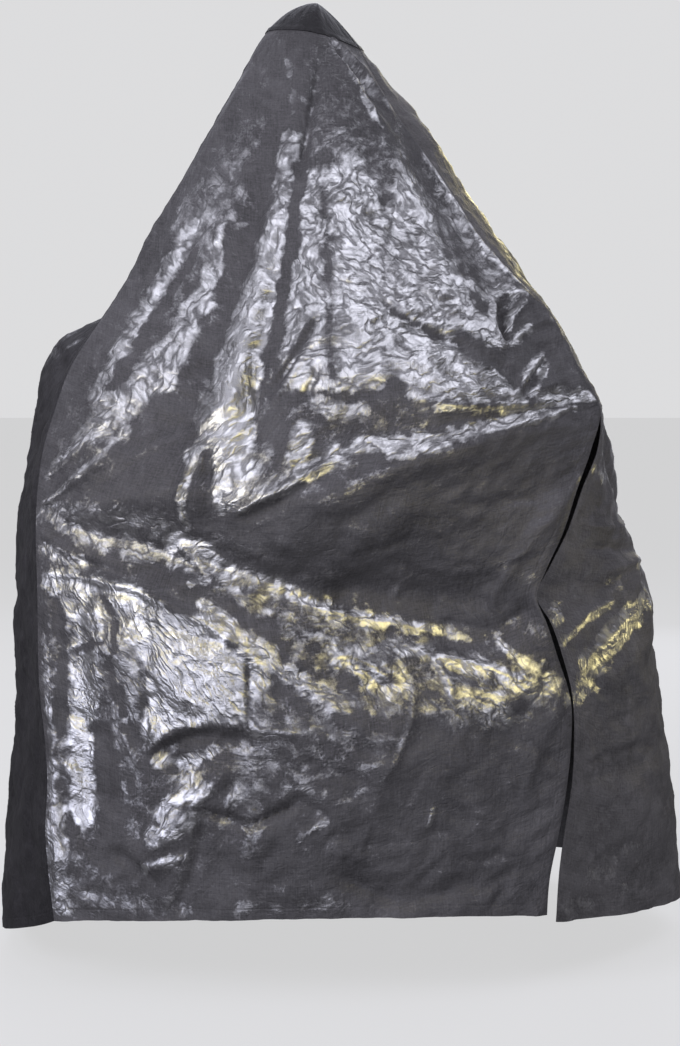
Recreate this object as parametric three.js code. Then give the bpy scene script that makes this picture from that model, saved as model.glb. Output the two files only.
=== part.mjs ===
// Hanging chair cover: a loose cover of woven sheet that hangs from its peak, open below, slit down the right.
// Millimetres, Z up, X to the right and Y towards the back. The origin is the underside of the peak.
import * as THREE from 'three';

// Sheet thickness, gap at each seam, height where the side slit starts, and how near a seam the folds fade out
const thick = 2;
const gap = 0.3;
const slitTop = -780;
const foldFade = 45;

// How far a fold runs past its ends and over how much of its length it fades, as shares of that length
const endReach = 0.12;
const endFade = 0.3;

// Steps across and down for the direction a sheet faces
const stepAcross = 0.01;
const stepDown = 6;

// Rows down the sheet: nominal heights from the cap seam to the slit top, then from there to the hem
const upperRows = [
  -65, -110, -160, -210, -260, -310, -360, -410, -455, -500, -545, -580, -610, -636, -662, -698, -738, -780,
];
const lowerCount = 23;

// Front panel, a row for each height: left edge, depth at the quarters and the middle, right edge
const front = [
  { z: -40, xl: -82, yl: -27, y1: -56, y2: -72, y3: -58, xr: 46, yr: -14 },
  { z: -80, xl: -109, yl: -38, y1: -78, y2: -98, y3: -80, xr: 74, yr: -22 },
  { z: -150, xl: -146, yl: -58, y1: -115, y2: -142, y3: -116, xr: 114, yr: -42 },
  { z: -220, xl: -184, yl: -78, y1: -146, y2: -178, y3: -146, xr: 155, yr: -60 },
  { z: -300, xl: -228, yl: -100, y1: -178, y2: -214, y3: -182, xr: 211, yr: -81 },
  { z: -380, xl: -272, yl: -127, y1: -210, y2: -246, y3: -214, xr: 262, yr: -108 },
  { z: -450, xl: -313, yl: -150, y1: -236, y2: -274, y3: -244, xr: 306, yr: -133 },
  { z: -530, xl: -349, yl: -174, y1: -263, y2: -306, y3: -280, xr: 373, yr: -161 },
  { z: -600, xl: -391, yl: -194, y1: -288, y2: -334, y3: -312, xr: 436, yr: -186 },
  { z: -650, xl: -424, yl: -207, y1: -306, y2: -352, y3: -336, xr: 462, yr: -204 },
  { z: -700, xl: -453, yl: -220, y1: -322, y2: -370, y3: -360, xr: 486, yr: -221 },
  { z: -780, xl: -481, yl: -240, y1: -346, y2: -394, y3: -392, xr: 523, yr: -250 },
  { z: -850, xl: -500, yl: -257, y1: -362, y2: -412, y3: -404, xr: 503, yr: -283 },
  { z: -920, xl: -509, yl: -272, y1: -372, y2: -420, y3: -398, xr: 474, yr: -315 },
  { z: -1000, xl: -512, yl: -284, y1: -360, y2: -410, y3: -378, xr: 445, yr: -339 },
  { z: -1060, xl: -511, yl: -289, y1: -362, y2: -388, y3: -360, xr: 416, yr: -351 },
  { z: -1110, xl: -510, yl: -293, y1: -378, y2: -376, y3: -346, xr: 398, yr: -357 },
  { z: -1160, xl: -509, yl: -297, y1: -390, y2: -386, y3: -346, xr: 417, yr: -356 },
  { z: -1220, xl: -509, yl: -302, y1: -396, y2: -406, y3: -368, xr: 437, yr: -354 },
  { z: -1300, xl: -505, yl: -311, y1: -397, y2: -416, y3: -398, xr: 462, yr: -352 },
  { z: -1380, xl: -496, yl: -320, y1: -396, y2: -414, y3: -402, xr: 464, yr: -352 },
  { z: -1460, xl: -491, yl: -329, y1: -395, y2: -412, y3: -401, xr: 457, yr: -354 },
  { z: -1550, xl: -495, yl: -337, y1: -395, y2: -411, y3: -400, xr: 443, yr: -356 },
  { z: -1630, xl: -489, yl: -343, y1: -396, y2: -410, y3: -399, xr: 428, yr: -358 },
  { z: -1720, xl: -479, yl: -350, y1: -396, y2: -409, y3: -398, xr: 423, yr: -360 },
  { z: -1840, xl: -470, yl: -358, y1: -396, y2: -409, y3: -398, xr: 420, yr: -362 },
];

// Left panel, a row for each height: how far left at the quarters and the middle, then its back edge
const left = [
  { z: -40, x1: -84, x2: -82, x3: -72, xb: -54, yb: 36 },
  { z: -80, x1: -112, x2: -108, x3: -95, xb: -76, yb: 62 },
  { z: -150, x1: -150, x2: -147, x3: -132, xb: -108, yb: 104 },
  { z: -300, x1: -231, x2: -226, x3: -210, xb: -186, yb: 176 },
  { z: -450, x1: -313, x2: -308, x3: -290, xb: -256, yb: 232 },
  { z: -550, x1: -362, x2: -360, x3: -342, xb: -302, yb: 262 },
  { z: -600, x1: -396, x2: -402, x3: -380, xb: -330, yb: 274 },
  { z: -620, x1: -432, x2: -458, x3: -418, xb: -345, yb: 278 },
  { z: -650, x1: -470, x2: -514, x3: -462, xb: -366, yb: 283 },
  { z: -700, x1: -502, x2: -549, x3: -500, xb: -396, yb: 289 },
  { z: -780, x1: -530, x2: -565, x3: -524, xb: -422, yb: 294 },
  { z: -860, x1: -547, x2: -577, x3: -540, xb: -438, yb: 297 },
  { z: -930, x1: -558, x2: -586, x3: -550, xb: -449, yb: 299 },
  { z: -1000, x1: -564, x2: -598, x3: -560, xb: -457, yb: 300 },
  { z: -1110, x1: -566, x2: -599, x3: -562, xb: -462, yb: 300 },
  { z: -1220, x1: -567, x2: -602, x3: -565, xb: -464, yb: 300 },
  { z: -1330, x1: -564, x2: -599, x3: -563, xb: -465, yb: 299 },
  { z: -1460, x1: -566, x2: -603, x3: -566, xb: -467, yb: 297 },
  { z: -1550, x1: -578, x2: -616, x3: -575, xb: -469, yb: 296 },
  { z: -1700, x1: -594, x2: -627, x3: -586, xb: -472, yb: 294 },
  { z: -1850, x1: -602, x2: -632, x3: -592, xb: -475, yb: 292 },
];

// Back panel, a row for each height: depth at the quarters and the middle, then its edge on the right
const back = [
  { z: -40, y1: 58, y2: 64, y3: 56, xr: 40, yr: 34 },
  { z: -80, y1: 92, y2: 100, y3: 90, xr: 62, yr: 60 },
  { z: -150, y1: 148, y2: 164, y3: 148, xr: 100, yr: 104 },
  { z: -300, y1: 246, y2: 272, y3: 248, xr: 196, yr: 178 },
  { z: -450, y1: 324, y2: 354, y3: 326, xr: 284, yr: 236 },
  { z: -600, y1: 378, y2: 408, y3: 378, xr: 372, yr: 278 },
  { z: -700, y1: 398, y2: 428, y3: 400, xr: 418, yr: 294 },
  { z: -780, y1: 408, y2: 438, y3: 410, xr: 450, yr: 303 },
  { z: -930, y1: 416, y2: 448, y3: 420, xr: 486, yr: 309 },
  { z: -1110, y1: 418, y2: 450, y3: 422, xr: 522, yr: 310 },
  { z: -1300, y1: 416, y2: 447, y3: 420, xr: 550, yr: 309 },
  { z: -1460, y1: 414, y2: 444, y3: 418, xr: 566, yr: 307 },
  { z: -1620, y1: 412, y2: 441, y3: 415, xr: 580, yr: 304 },
  { z: -1850, y1: 410, y2: 438, y3: 412, xr: 592, yr: 300 },
];

// Right panel, a row for each height: how far right at the quarters and the middle, then its slit edge
const right = [
  { z: -40, x1: 50, x2: 54, x3: 52, xs: 46, ys: -14 },
  { z: -80, x1: 78, x2: 84, x3: 82, xs: 74, ys: -22 },
  { z: -150, x1: 126, x2: 144, x3: 136, xs: 114, ys: -42 },
  { z: -220, x1: 180, x2: 204, x3: 192, xs: 155, ys: -60 },
  { z: -300, x1: 240, x2: 261, x3: 250, xs: 211, ys: -81 },
  { z: -380, x1: 290, x2: 312, x3: 302, xs: 262, ys: -108 },
  { z: -450, x1: 338, x2: 359, x3: 348, xs: 306, ys: -133 },
  { z: -530, x1: 388, x2: 406, x3: 404, xs: 373, ys: -161 },
  { z: -600, x1: 432, x2: 456, x3: 460, xs: 436, ys: -186 },
  { z: -650, x1: 458, x2: 484, x3: 488, xs: 462, ys: -204 },
  { z: -700, x1: 484, x2: 512, x3: 516, xs: 486, ys: -221 },
  { z: -780, x1: 522, x2: 556, x3: 548, xs: 523, ys: -250 },
  { z: -850, x1: 548, x2: 590, x3: 567, xs: 530, ys: -262 },
  { z: -920, x1: 558, x2: 597, x3: 568, xs: 497, ys: -296 },
  { z: -1000, x1: 572, x2: 604, x3: 566, xs: 457, ys: -328 },
  { z: -1060, x1: 592, x2: 630, x3: 578, xs: 424, ys: -342 },
  { z: -1110, x1: 610, x2: 650, x3: 592, xs: 399, ys: -344 },
  { z: -1160, x1: 622, x2: 664, x3: 606, xs: 431, ys: -341 },
  { z: -1220, x1: 632, x2: 674, x3: 614, xs: 453, ys: -336 },
  { z: -1300, x1: 645, x2: 686, x3: 622, xs: 469, ys: -330 },
  { z: -1380, x1: 655, x2: 695, x3: 628, xs: 474, ys: -324 },
  { z: -1460, x1: 668, x2: 709, x3: 634, xs: 472, ys: -319 },
  { z: -1550, x1: 678, x2: 722, x3: 640, xs: 461, ys: -313 },
  { z: -1630, x1: 687, x2: 731, x3: 646, xs: 453, ys: -307 },
  { z: -1720, x1: 696, x2: 739, x3: 650, xs: 449, ys: -302 },
  { z: -1850, x1: 704, x2: 744, x3: 656, xs: 446, ys: -296 },
];

// Heights of the cap seam and of the hem at the start, the middle and the end of each panel, going round
const edges = {
  front_panel: { seam: [-82, -62, -51], hem: [-1698, -1688, -1713] },
  left_panel: { seam: [-51, -55, -60], hem: [-1713, -1822, -1800] },
  back_panel: { seam: [-60, -68, -72], hem: [-1800, -1786, -1782] },
  right_panel: { seam: [-72, -80, -82], hem: [-1782, -1778, -1732] },
};

// Folds, a row for each: across is x on the front and back panels and y on the side panels
const folds = [
  { on: 'front_panel', a0: -190, z0: -340, a1: -440, z1: -900, bow: 10, w0: 20, w1: 42, high: 12 },
  { on: 'front_panel', a0: -150, z0: -450, a1: -350, z1: -830, bow: 6, w0: 14, w1: 26, high: -9 },
  { on: 'front_panel', a0: -140, z0: -380, a1: -440, z1: -940, bow: -18, w0: 20, w1: 38, high: 12 },
  { on: 'front_panel', a0: -88, z0: -340, a1: -250, z1: -870, bow: -8, w0: 26, w1: 44, high: -15 },
  { on: 'front_panel', a0: -26, z0: -300, a1: -190, z1: -840, bow: -6, w0: 24, w1: 40, high: 13 },
  { on: 'front_panel', a0: 4, z0: -170, a1: -120, z1: -830, bow: 8, w0: 16, w1: 22, high: -14 },
  { on: 'front_panel', a0: 60, z0: -160, a1: 30, z1: -760, bow: 12, w0: 28, w1: 70, high: 9 },
  { on: 'front_panel', a0: 110, z0: -230, a1: 330, z1: -720, bow: 10, w0: 26, w1: 46, high: 8 },
  { on: 'front_panel', a0: 150, z0: -180, a1: 420, z1: -690, bow: 12, w0: 18, w1: 30, high: -7 },
  { on: 'front_panel', a0: 510, z0: -770, a1: 10, z1: -815, bow: -10, w0: 22, w1: 40, high: -13 },
  { on: 'front_panel', a0: 505, z0: -778, a1: -40, z1: -960, bow: 20, w0: 20, w1: 34, high: 13 },
  { on: 'front_panel', a0: 90, z0: -930, a1: -450, z1: -965, bow: 26, w0: 34, w1: 30, high: 9 },
  { on: 'front_panel', a0: 400, z0: -1120, a1: -450, z1: -985, bow: -34, w0: 34, w1: 26, high: -12 },
  { on: 'front_panel', a0: 470, z0: -1290, a1: -420, z1: -1050, bow: -40, w0: 44, w1: 40, high: 8 },
  { on: 'front_panel', a0: -300, z0: -1060, a1: -285, z1: -1330, bow: 14, w0: 26, w1: 30, high: -9 },
  { on: 'front_panel', a0: -436, z0: -1130, a1: -400, z1: -1600, bow: 0, w0: 22, w1: 30, high: -9 },
  { on: 'front_panel', a0: -290, z0: -1392, a1: -100, z1: -1352, bow: 14, w0: 24, w1: 26, high: -9 },
  { on: 'front_panel', a0: -330, z0: -1590, a1: -150, z1: -1400, bow: 10, w0: 28, w1: 26, high: 10 },
  { on: 'front_panel', a0: -150, z0: -1500, a1: -235, z1: -1700, bow: -14, w0: 24, w1: 30, high: -9 },
  { on: 'front_panel', a0: 190, z0: -1260, a1: 90, z1: -1520, bow: 10, w0: 30, w1: 34, high: 7 },
  { on: 'front_panel', a0: 20, z0: -1590, a1: 340, z1: -1590, bow: 60, w0: 34, w1: 30, high: -8 },
  { on: 'left_panel', a0: -140, z0: -300, a1: -150, z1: -900, bow: 20, w0: 40, w1: 60, high: -14 },
  { on: 'left_panel', a0: 60, z0: -660, a1: 20, z1: -1250, bow: -20, w0: 34, w1: 60, high: -12 },
  { on: 'left_panel', a0: -120, z0: -1130, a1: -60, z1: -1560, bow: 20, w0: 36, w1: 50, high: 9 },
  { on: 'left_panel', a0: 170, z0: -900, a1: 140, z1: -1780, bow: 16, w0: 50, w1: 60, high: 12 },
  { on: 'back_panel', a0: -60, z0: -150, a1: -230, z1: -1000, bow: 20, w0: 34, w1: 70, high: -18 },
  { on: 'back_panel', a0: 50, z0: -160, a1: 150, z1: -1100, bow: -16, w0: 34, w1: 76, high: -20 },
  { on: 'back_panel', a0: 120, z0: -260, a1: 400, z1: -1200, bow: 20, w0: 36, w1: 60, high: 14 },
  { on: 'back_panel', a0: -120, z0: -700, a1: -90, z1: -1760, bow: 10, w0: 60, w1: 80, high: 18 },
  { on: 'back_panel', a0: 330, z0: -1000, a1: 360, z1: -1760, bow: -14, w0: 56, w1: 66, high: -16 },
  { on: 'back_panel', a0: -340, z0: -820, a1: -300, z1: -1760, bow: 12, w0: 50, w1: 66, high: -14 },
  { on: 'right_panel', a0: -170, z0: -640, a1: 140, z1: -940, bow: 20, w0: 34, w1: 44, high: -12 },
  { on: 'right_panel', a0: -210, z0: -800, a1: 60, z1: -1120, bow: -16, w0: 30, w1: 44, high: -16 },
  { on: 'right_panel', a0: -280, z0: -1290, a1: 20, z1: -1090, bow: 14, w0: 30, w1: 40, high: 12 },
  { on: 'right_panel', a0: -280, z0: -1450, a1: -20, z1: -1440, bow: 12, w0: 24, w1: 34, high: -7 },
  { on: 'right_panel', a0: 120, z0: -1000, a1: 150, z1: -1760, bow: 14, w0: 50, w1: 66, high: -16 },
];

// Value of one named column at a height, smooth through the rows
function column(rows, name, z) {
  const n = rows.length;
  let i = 0;
  while (i < n - 2 && z < rows[i + 1].z) i += 1;
  const slope = (a, b) => (rows[b][name] - rows[a][name]) / (rows[b].z - rows[a].z);
  const tangent = (k) => {
    if (k === 0) return slope(0, 1);
    if (k === n - 1) return slope(n - 2, n - 1);
    const before = rows[k - 1].z - rows[k].z;
    const after = rows[k].z - rows[k + 1].z;
    return (slope(k - 1, k) * after + slope(k, k + 1) * before) / (before + after);
  };
  const h = rows[i + 1].z - rows[i].z;
  const t = Math.min(1, Math.max(0, (z - rows[i].z) / h));
  const a = rows[i][name];
  const b = rows[i + 1][name];
  const ma = tangent(i) * h;
  const mb = tangent(i + 1) * h;
  return (2 * t ** 3 - 3 * t ** 2 + 1) * a + (t ** 3 - 2 * t ** 2 + t) * ma
    + (3 * t ** 2 - 2 * t ** 3) * b + (t ** 3 - t ** 2) * mb;
}

// Smooth value through five evenly spaced stations across a panel, u from 0 to 1
function through(five, u) {
  const k = Math.min(3, Math.floor(u * 4));
  const t = u * 4 - k;
  const at = (i) => {
    if (i < 0) return 2 * five[0] - five[1];
    if (i > 4) return 2 * five[4] - five[3];
    return five[i];
  };
  const ma = (at(k + 1) - at(k - 1)) / 2;
  const mb = (at(k + 2) - at(k)) / 2;
  return (2 * t ** 3 - 3 * t ** 2 + 1) * at(k) + (t ** 3 - 2 * t ** 2 + t) * ma
    + (3 * t ** 2 - 2 * t ** 3) * at(k + 1) + (t ** 3 - t ** 2) * mb;
}

// Height along a seam or a hem given at its start, middle and end
function along(three, u) {
  return three[0] * (1 - u) * (1 - 2 * u) + three[1] * 4 * u * (1 - u) + three[2] * u * (2 * u - 1);
}

// Smooth base sheet of each panel: a point for u across and height z
const base = {
  front_panel(u, z) {
    const f = (name) => column(front, name, z);
    const x = f('xr') + (f('xl') - f('xr')) * u;
    return [x, through([f('yr'), f('y3'), f('y2'), f('y1'), f('yl')], u), z];
  },
  left_panel(u, z) {
    const l = (name) => column(left, name, z);
    const y0 = column(front, 'yl', z);
    const x0 = column(front, 'xl', z);
    return [through([x0, l('x1'), l('x2'), l('x3'), l('xb')], u), y0 + (l('yb') - y0) * u, z];
  },
  back_panel(u, z) {
    const b = (name) => column(back, name, z);
    const x0 = column(left, 'xb', z);
    const y0 = column(left, 'yb', z);
    return [x0 + (b('xr') - x0) * u, through([y0, b('y1'), b('y2'), b('y3'), b('yr')], u), z];
  },
  right_panel(u, z) {
    const r = (name) => column(right, name, z);
    const x0 = column(back, 'xr', z);
    const y0 = column(back, 'yr', z);
    const x1 = z < slitTop ? r('xs') : column(front, 'xr', z);
    const y1 = z < slitTop ? r('ys') : column(front, 'yr', z);
    return [through([x0, r('x1'), r('x2'), r('x3'), x1], u), y0 + (y1 - y0) * u, z];
  },
};

// The panels in turn round the cover, each from its right edge to its left as seen from outside, with
// how many strips of the grid it has and about how wide a strip is
const order = ['front_panel', 'left_panel', 'back_panel', 'right_panel'];
const acrossCount = { front_panel: 28, left_panel: 10, back_panel: 16, right_panel: 12 };
const stripWidth = 34;

// Smooth step from 0 to 1
function smooth(t) {
  const c = Math.min(1, Math.max(0, t));
  return c * c * (3 - 2 * c);
}

// Height of grid row j on a panel at u
function height(name, u, j) {
  const seam = along(edges[name].seam, u);
  const hem = along(edges[name].hem, u);
  const upper = upperRows.length - 1;
  if (j <= upper) {
    const share = (upperRows[j] - upperRows[0]) / (upperRows[upper] - upperRows[0]);
    return seam + (slitTop - seam) * share;
  }
  return slitTop + (hem - slitTop) * (j - upper) / lowerCount;
}

// How far the folds lift the sheet outward at a point: a smooth hump across each fold's line, faded at its ends
function lift(name, p) {
  const across = name === 'front_panel' || name === 'back_panel' ? p[0] : p[1];
  let sum = 0;
  for (const f of folds.filter((row) => row.on === name)) {
    const da = f.a1 - f.a0;
    const dz = f.z1 - f.z0;
    const length = Math.hypot(da, dz);
    const t = ((across - f.a0) * da + (p[2] - f.z0) * dz) / length ** 2;
    const off = ((across - f.a0) * dz - (p[2] - f.z0) * da) / length - f.bow * 4 * t * (1 - t);
    const width = f.w0 + (f.w1 - f.w0) * Math.min(1, Math.max(0, t));
    const ends = smooth((t + endReach) / endFade) * smooth((1 + endReach - t) / endFade);
    sum += f.high * Math.exp(-((off / width) ** 2)) * ends;
  }
  return sum;
}

// Folded points of one panel, as rows of columns, each moved along the base sheet's normal
function points(name) {
  const nu = acrossCount[name];
  const nv = upperRows.length - 1 + lowerCount;
  const at = (u, z) => new THREE.Vector3(...base[name](u, z));
  const grid = [];
  for (let j = 0; j <= nv; j += 1) {
    const row = [];
    for (let i = 0; i <= nu; i += 1) {
      const u = i / nu;
      const z = height(name, u, j);
      const across = at(Math.min(1, u + stepAcross), z).sub(at(Math.max(0, u - stepAcross), z));
      const down = at(u, z - stepDown).sub(at(u, z + stepDown));
      const normal = across.cross(down).normalize();
      const fromSeam = Math.min(u, 1 - u) * nu * stripWidth;
      const high = lift(name, base[name](u, z)) * smooth(fromSeam / foldFade);
      row.push(at(u, z).addScaledVector(normal, high));
    }
    grid.push(row);
  }
  return grid;
}

// Normals of a grid of points, facing outward
function normals(grid) {
  const nv = grid.length - 1;
  const nu = grid[0].length - 1;
  return grid.map((row, j) => row.map((p, i) => {
    const s = new THREE.Vector3().subVectors(row[Math.min(nu, i + 1)], row[Math.max(0, i - 1)]);
    const d = new THREE.Vector3().subVectors(grid[Math.min(nv, j + 1)][i], grid[Math.max(0, j - 1)][i]);
    return s.cross(d).normalize();
  }));
}

const grids = {};
const facing = {};
for (const name of order) {
  grids[name] = points(name);
  facing[name] = normals(grids[name]);
}

// Cap: rings from the seam up to the peak, steeper on the left than on the right
const peak = new THREE.Vector3(0, 0, thick);
const capRings = 5;
const capCurve = 1.6;
const capSkew = 0.35;
const rim = order.flatMap((name) => grids[name][0].slice(0, -1));
const around = rim.length;
const wrap = (i) => (i + around) % around;
const capGrid = [];
for (let k = 0; k < capRings; k += 1) {
  const r = 1 - k / capRings;
  capGrid.push(rim.map((p) => new THREE.Vector3(
    peak.x + (p.x - peak.x) * r,
    peak.y + (p.y - peak.y) * r,
    peak.z + (p.z - peak.z) * r ** (capCurve - capSkew * p.x / Math.hypot(p.x, p.y)),
  )));
}
const capFacing = capGrid.map((ring, k) => ring.map((p, i) => {
  const across = new THREE.Vector3().subVectors(ring[wrap(i + 1)], ring[wrap(i - 1)]);
  const up = k + 1 < capRings ? capGrid[k + 1][i] : peak;
  const down = k > 0 ? capGrid[k - 1][i] : p;
  return across.cross(new THREE.Vector3().subVectors(down, up)).normalize();
}));

// Gives sheets that meet at a point one direction for their thickness, so that their cut edges stay parallel
function share(directions) {
  const mean = directions.reduce((sum, d) => sum.add(d), new THREE.Vector3()).normalize();
  const stretch = mean.dot(directions[0]);
  directions.forEach((d) => d.copy(mean).divideScalar(stretch));
}

// Side seams, then the cap seam, where the slit leaves the first and the last panel apart below its top
let start = 0;
order.forEach((name, n) => {
  const last = order[(n + order.length - 1) % order.length];
  const rows = n === 0 ? upperRows.length : grids[name].length;
  for (let j = 1; j < rows; j += 1) share([facing[last][j][acrossCount[last]], facing[name][j][0]]);
  for (let i = 0; i < acrossCount[name]; i += 1) {
    const meeting = [facing[name][0][i], capFacing[0][start + i]];
    if (i === 0) meeting.push(facing[last][0][acrossCount[last]]);
    share(meeting);
  }
  start += acrossCount[name];
});

// Outer points of a panel, drawn back from its seams by half the gap
function drawnBack(name) {
  const grid = grids[name];
  const nu = acrossCount[name];
  const towards = (p, q) => new THREE.Vector3().subVectors(q, p).normalize();
  return grid.map((row, j) => row.map((p, i) => {
    const inward = new THREE.Vector3();
    if (i === 0) inward.add(towards(p, row[1]));
    if (i === nu) inward.add(towards(p, row[nu - 1]));
    if (j === 0) inward.add(towards(p, grid[1][i]));
    return p.clone().addScaledVector(inward, gap / 2);
  }));
}

// Geometry from points and the corners of its triangles
function solid(corners, index) {
  const geometry = new THREE.BufferGeometry().setFromPoints(corners);
  geometry.setIndex(index);
  geometry.computeVertexNormals();
  return geometry;
}

// Closed sheet of a panel: outer points, inner points behind them, and four narrow walls
function sheet(name) {
  const outer = drawnBack(name);
  const inner = outer.map((row, j) => row.map((p, i) => p.clone().addScaledVector(facing[name][j][i], -thick)));
  const nv = outer.length - 1;
  const nu = acrossCount[name];
  const half = (nu + 1) * (nv + 1);
  const at = (i, j) => j * (nu + 1) + i;
  const index = [];
  for (let j = 0; j < nv; j += 1) {
    for (let i = 0; i < nu; i += 1) {
      const [a, b, c, d] = [at(i, j), at(i + 1, j), at(i + 1, j + 1), at(i, j + 1)];
      index.push(a, b, c, a, c, d);
      index.push(half + a, half + c, half + b, half + a, half + d, half + c);
    }
  }
  const wall = (a, b) => index.push(a, half + b, b, a, half + a, half + b);
  for (let i = 0; i < nu; i += 1) {
    wall(at(i, 0), at(i + 1, 0));
    wall(at(i + 1, nv), at(i, nv));
  }
  for (let j = 0; j < nv; j += 1) {
    wall(at(0, j + 1), at(0, j));
    wall(at(nu, j), at(nu, j + 1));
  }
  return solid([...outer.flat(), ...inner.flat()], index);
}

// Closed sheet of the cap: rings and a point outside, the same inside, and a wall at the seam
function cap() {
  const outer = capGrid.map((ring, k) => ring.map((p, i) => {
    if (k > 0) return p.clone();
    return p.clone().addScaledVector(new THREE.Vector3().subVectors(capGrid[1][i], p).normalize(), gap / 2);
  }));
  const inner = outer.map((ring, k) => ring.map((p, i) => p.clone().addScaledVector(capFacing[k][i], -thick)));
  const half = capRings * around + 1;
  const at = (i, k) => k * around + wrap(i);
  const top = capRings * around;
  const index = [];
  for (let i = 0; i < around; i += 1) {
    for (let k = 0; k < capRings - 1; k += 1) {
      const [a, b, c, d] = [at(i, k), at(i + 1, k), at(i + 1, k + 1), at(i, k + 1)];
      index.push(a, c, b, a, d, c);
      index.push(half + a, half + b, half + c, half + a, half + c, half + d);
    }
    const [e, f] = [at(i, capRings - 1), at(i + 1, capRings - 1)];
    index.push(e, top, f, half + e, half + f, half + top);
    const [g, h] = [at(i, 0), at(i + 1, 0)];
    index.push(g, half + h, half + g, g, h, half + h);
  }
  const under = new THREE.Vector3(peak.x, peak.y, peak.z - thick);
  return solid([...outer.flat(), peak, ...inner.flat(), under], index);
}

// The pieces, each a mesh with its own material
const group = new THREE.Group();
group.name = 'hanging_chair_cover';
function add(name, geometry, color) {
  const mesh = new THREE.Mesh(geometry, new THREE.MeshStandardMaterial({ color, roughness: 0.4, metalness: 0 }));
  mesh.name = name;
  group.add(mesh);
}
add('top_cap', cap(), 0x46464c);
add('front_panel', sheet('front_panel'), 0x4b4b50);
add('left_panel', sheet('left_panel'), 0x48484d);
add('back_panel', sheet('back_panel'), 0x4a4a4f);
add('right_panel', sheet('right_panel'), 0x494a4e);

export default group;
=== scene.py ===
import bpy
import numpy as np
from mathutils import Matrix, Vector


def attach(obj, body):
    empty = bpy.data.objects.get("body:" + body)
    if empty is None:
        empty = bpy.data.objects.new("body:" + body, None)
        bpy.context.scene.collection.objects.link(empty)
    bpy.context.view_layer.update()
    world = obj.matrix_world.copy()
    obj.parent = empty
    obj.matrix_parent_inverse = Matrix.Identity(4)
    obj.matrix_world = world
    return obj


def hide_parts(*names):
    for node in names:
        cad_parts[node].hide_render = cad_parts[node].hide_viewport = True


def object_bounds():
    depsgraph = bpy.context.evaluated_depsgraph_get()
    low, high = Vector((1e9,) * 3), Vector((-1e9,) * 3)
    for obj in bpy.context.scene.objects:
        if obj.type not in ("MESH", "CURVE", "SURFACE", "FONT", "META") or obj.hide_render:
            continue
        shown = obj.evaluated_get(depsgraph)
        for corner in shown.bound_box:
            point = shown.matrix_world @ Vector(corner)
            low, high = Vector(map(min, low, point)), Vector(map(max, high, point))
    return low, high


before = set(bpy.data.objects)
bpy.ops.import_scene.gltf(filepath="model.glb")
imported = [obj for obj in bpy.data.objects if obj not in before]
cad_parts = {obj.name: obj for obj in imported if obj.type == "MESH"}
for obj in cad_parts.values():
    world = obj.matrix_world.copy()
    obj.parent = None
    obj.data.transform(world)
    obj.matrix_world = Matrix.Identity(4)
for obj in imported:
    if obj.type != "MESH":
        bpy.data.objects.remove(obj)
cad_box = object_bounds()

MM = 0.001
PANELS = ("front", "left", "back", "right")

# Height where the slit starts, thickness of a sheet, top of the cap, and how far in the hem is folded
SLIT_TOP = -780
THICKNESS = 1.2
PEAK = np.array([0, 0, 2.0])
HEM_FOLD = 20.0

# How far a fold reaches past its ends and fades out there, as shares of its length
END_REACH = 0.12
END_FADE = 0.3

# How far from a panel's edge each kind of relief fades in, and how far down from its top the crumples do
FOLD_FADE = 45
CREASE_FADE = 14
CRUMPLE_FADE = 26
TOP_FADE = 60

# Puckers along a seam: height, how far in they have risen, where they end, how gently, and length of one
PUCKER, PUCKER_RISE, PUCKER_END, PUCKER_FADE, PUCKER_LENGTH = 1.6, 6, 60, 50, 21

# Gloss of the cap, and a distance from the hem that its cloth never has
CAP_GLOSS = 0.05
FAR_FROM_HEM = 99.1

# Patches with a level between these two have a soft edge; those at the first or below dull what is there
DULL_LEVEL = 0.2
FULL_LEVEL = 0.7

# Distance within which a still nearer row of LAYS hardly counts for more
LAY_REACH = 60.0

# Angle between faces, in radians, past which an edge is shaded sharp
SHARP_ANGLE = 1.1

# Share of each of the three crease directions where none is favoured
EVEN_SHARE = 0.577


def columns(names, rows):
    """A table as a dict with an array for each named column."""
    return dict(zip(names.split(), np.array(rows, float).T))


# Plan of the panels, a row for each height: edges, and depth or width at the quarters and the middle
FRONT = columns("z xl yl y1 y2 y3 xr yr", [
    (-40, -82, -27, -56, -72, -58, 46, -14),
    (-80, -109, -38, -78, -98, -80, 74, -22),
    (-150, -146, -58, -115, -142, -116, 114, -42),
    (-220, -184, -78, -146, -178, -146, 155, -60),
    (-300, -228, -100, -178, -214, -182, 211, -81),
    (-380, -272, -127, -210, -246, -214, 262, -108),
    (-450, -313, -150, -236, -274, -244, 306, -133),
    (-530, -349, -174, -263, -306, -280, 373, -161),
    (-600, -391, -194, -288, -334, -312, 436, -186),
    (-650, -424, -207, -306, -352, -336, 462, -204),
    (-700, -453, -220, -322, -370, -360, 486, -221),
    (-780, -481, -240, -346, -394, -392, 523, -250),
    (-850, -500, -257, -362, -412, -404, 503, -283),
    (-920, -509, -272, -372, -420, -398, 474, -315),
    (-1000, -512, -284, -360, -410, -378, 445, -339),
    (-1060, -511, -289, -362, -388, -360, 416, -351),
    (-1110, -510, -293, -378, -376, -346, 398, -357),
    (-1160, -509, -297, -390, -386, -346, 417, -356),
    (-1220, -509, -302, -396, -406, -368, 437, -354),
    (-1300, -505, -311, -397, -416, -398, 462, -352),
    (-1380, -496, -320, -396, -414, -402, 464, -352),
    (-1460, -491, -329, -395, -412, -401, 457, -354),
    (-1550, -495, -337, -395, -411, -400, 443, -356),
    (-1630, -489, -343, -396, -410, -399, 428, -358),
    (-1720, -479, -350, -396, -409, -398, 423, -360),
    (-1840, -470, -358, -396, -409, -398, 420, -362),
])

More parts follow.
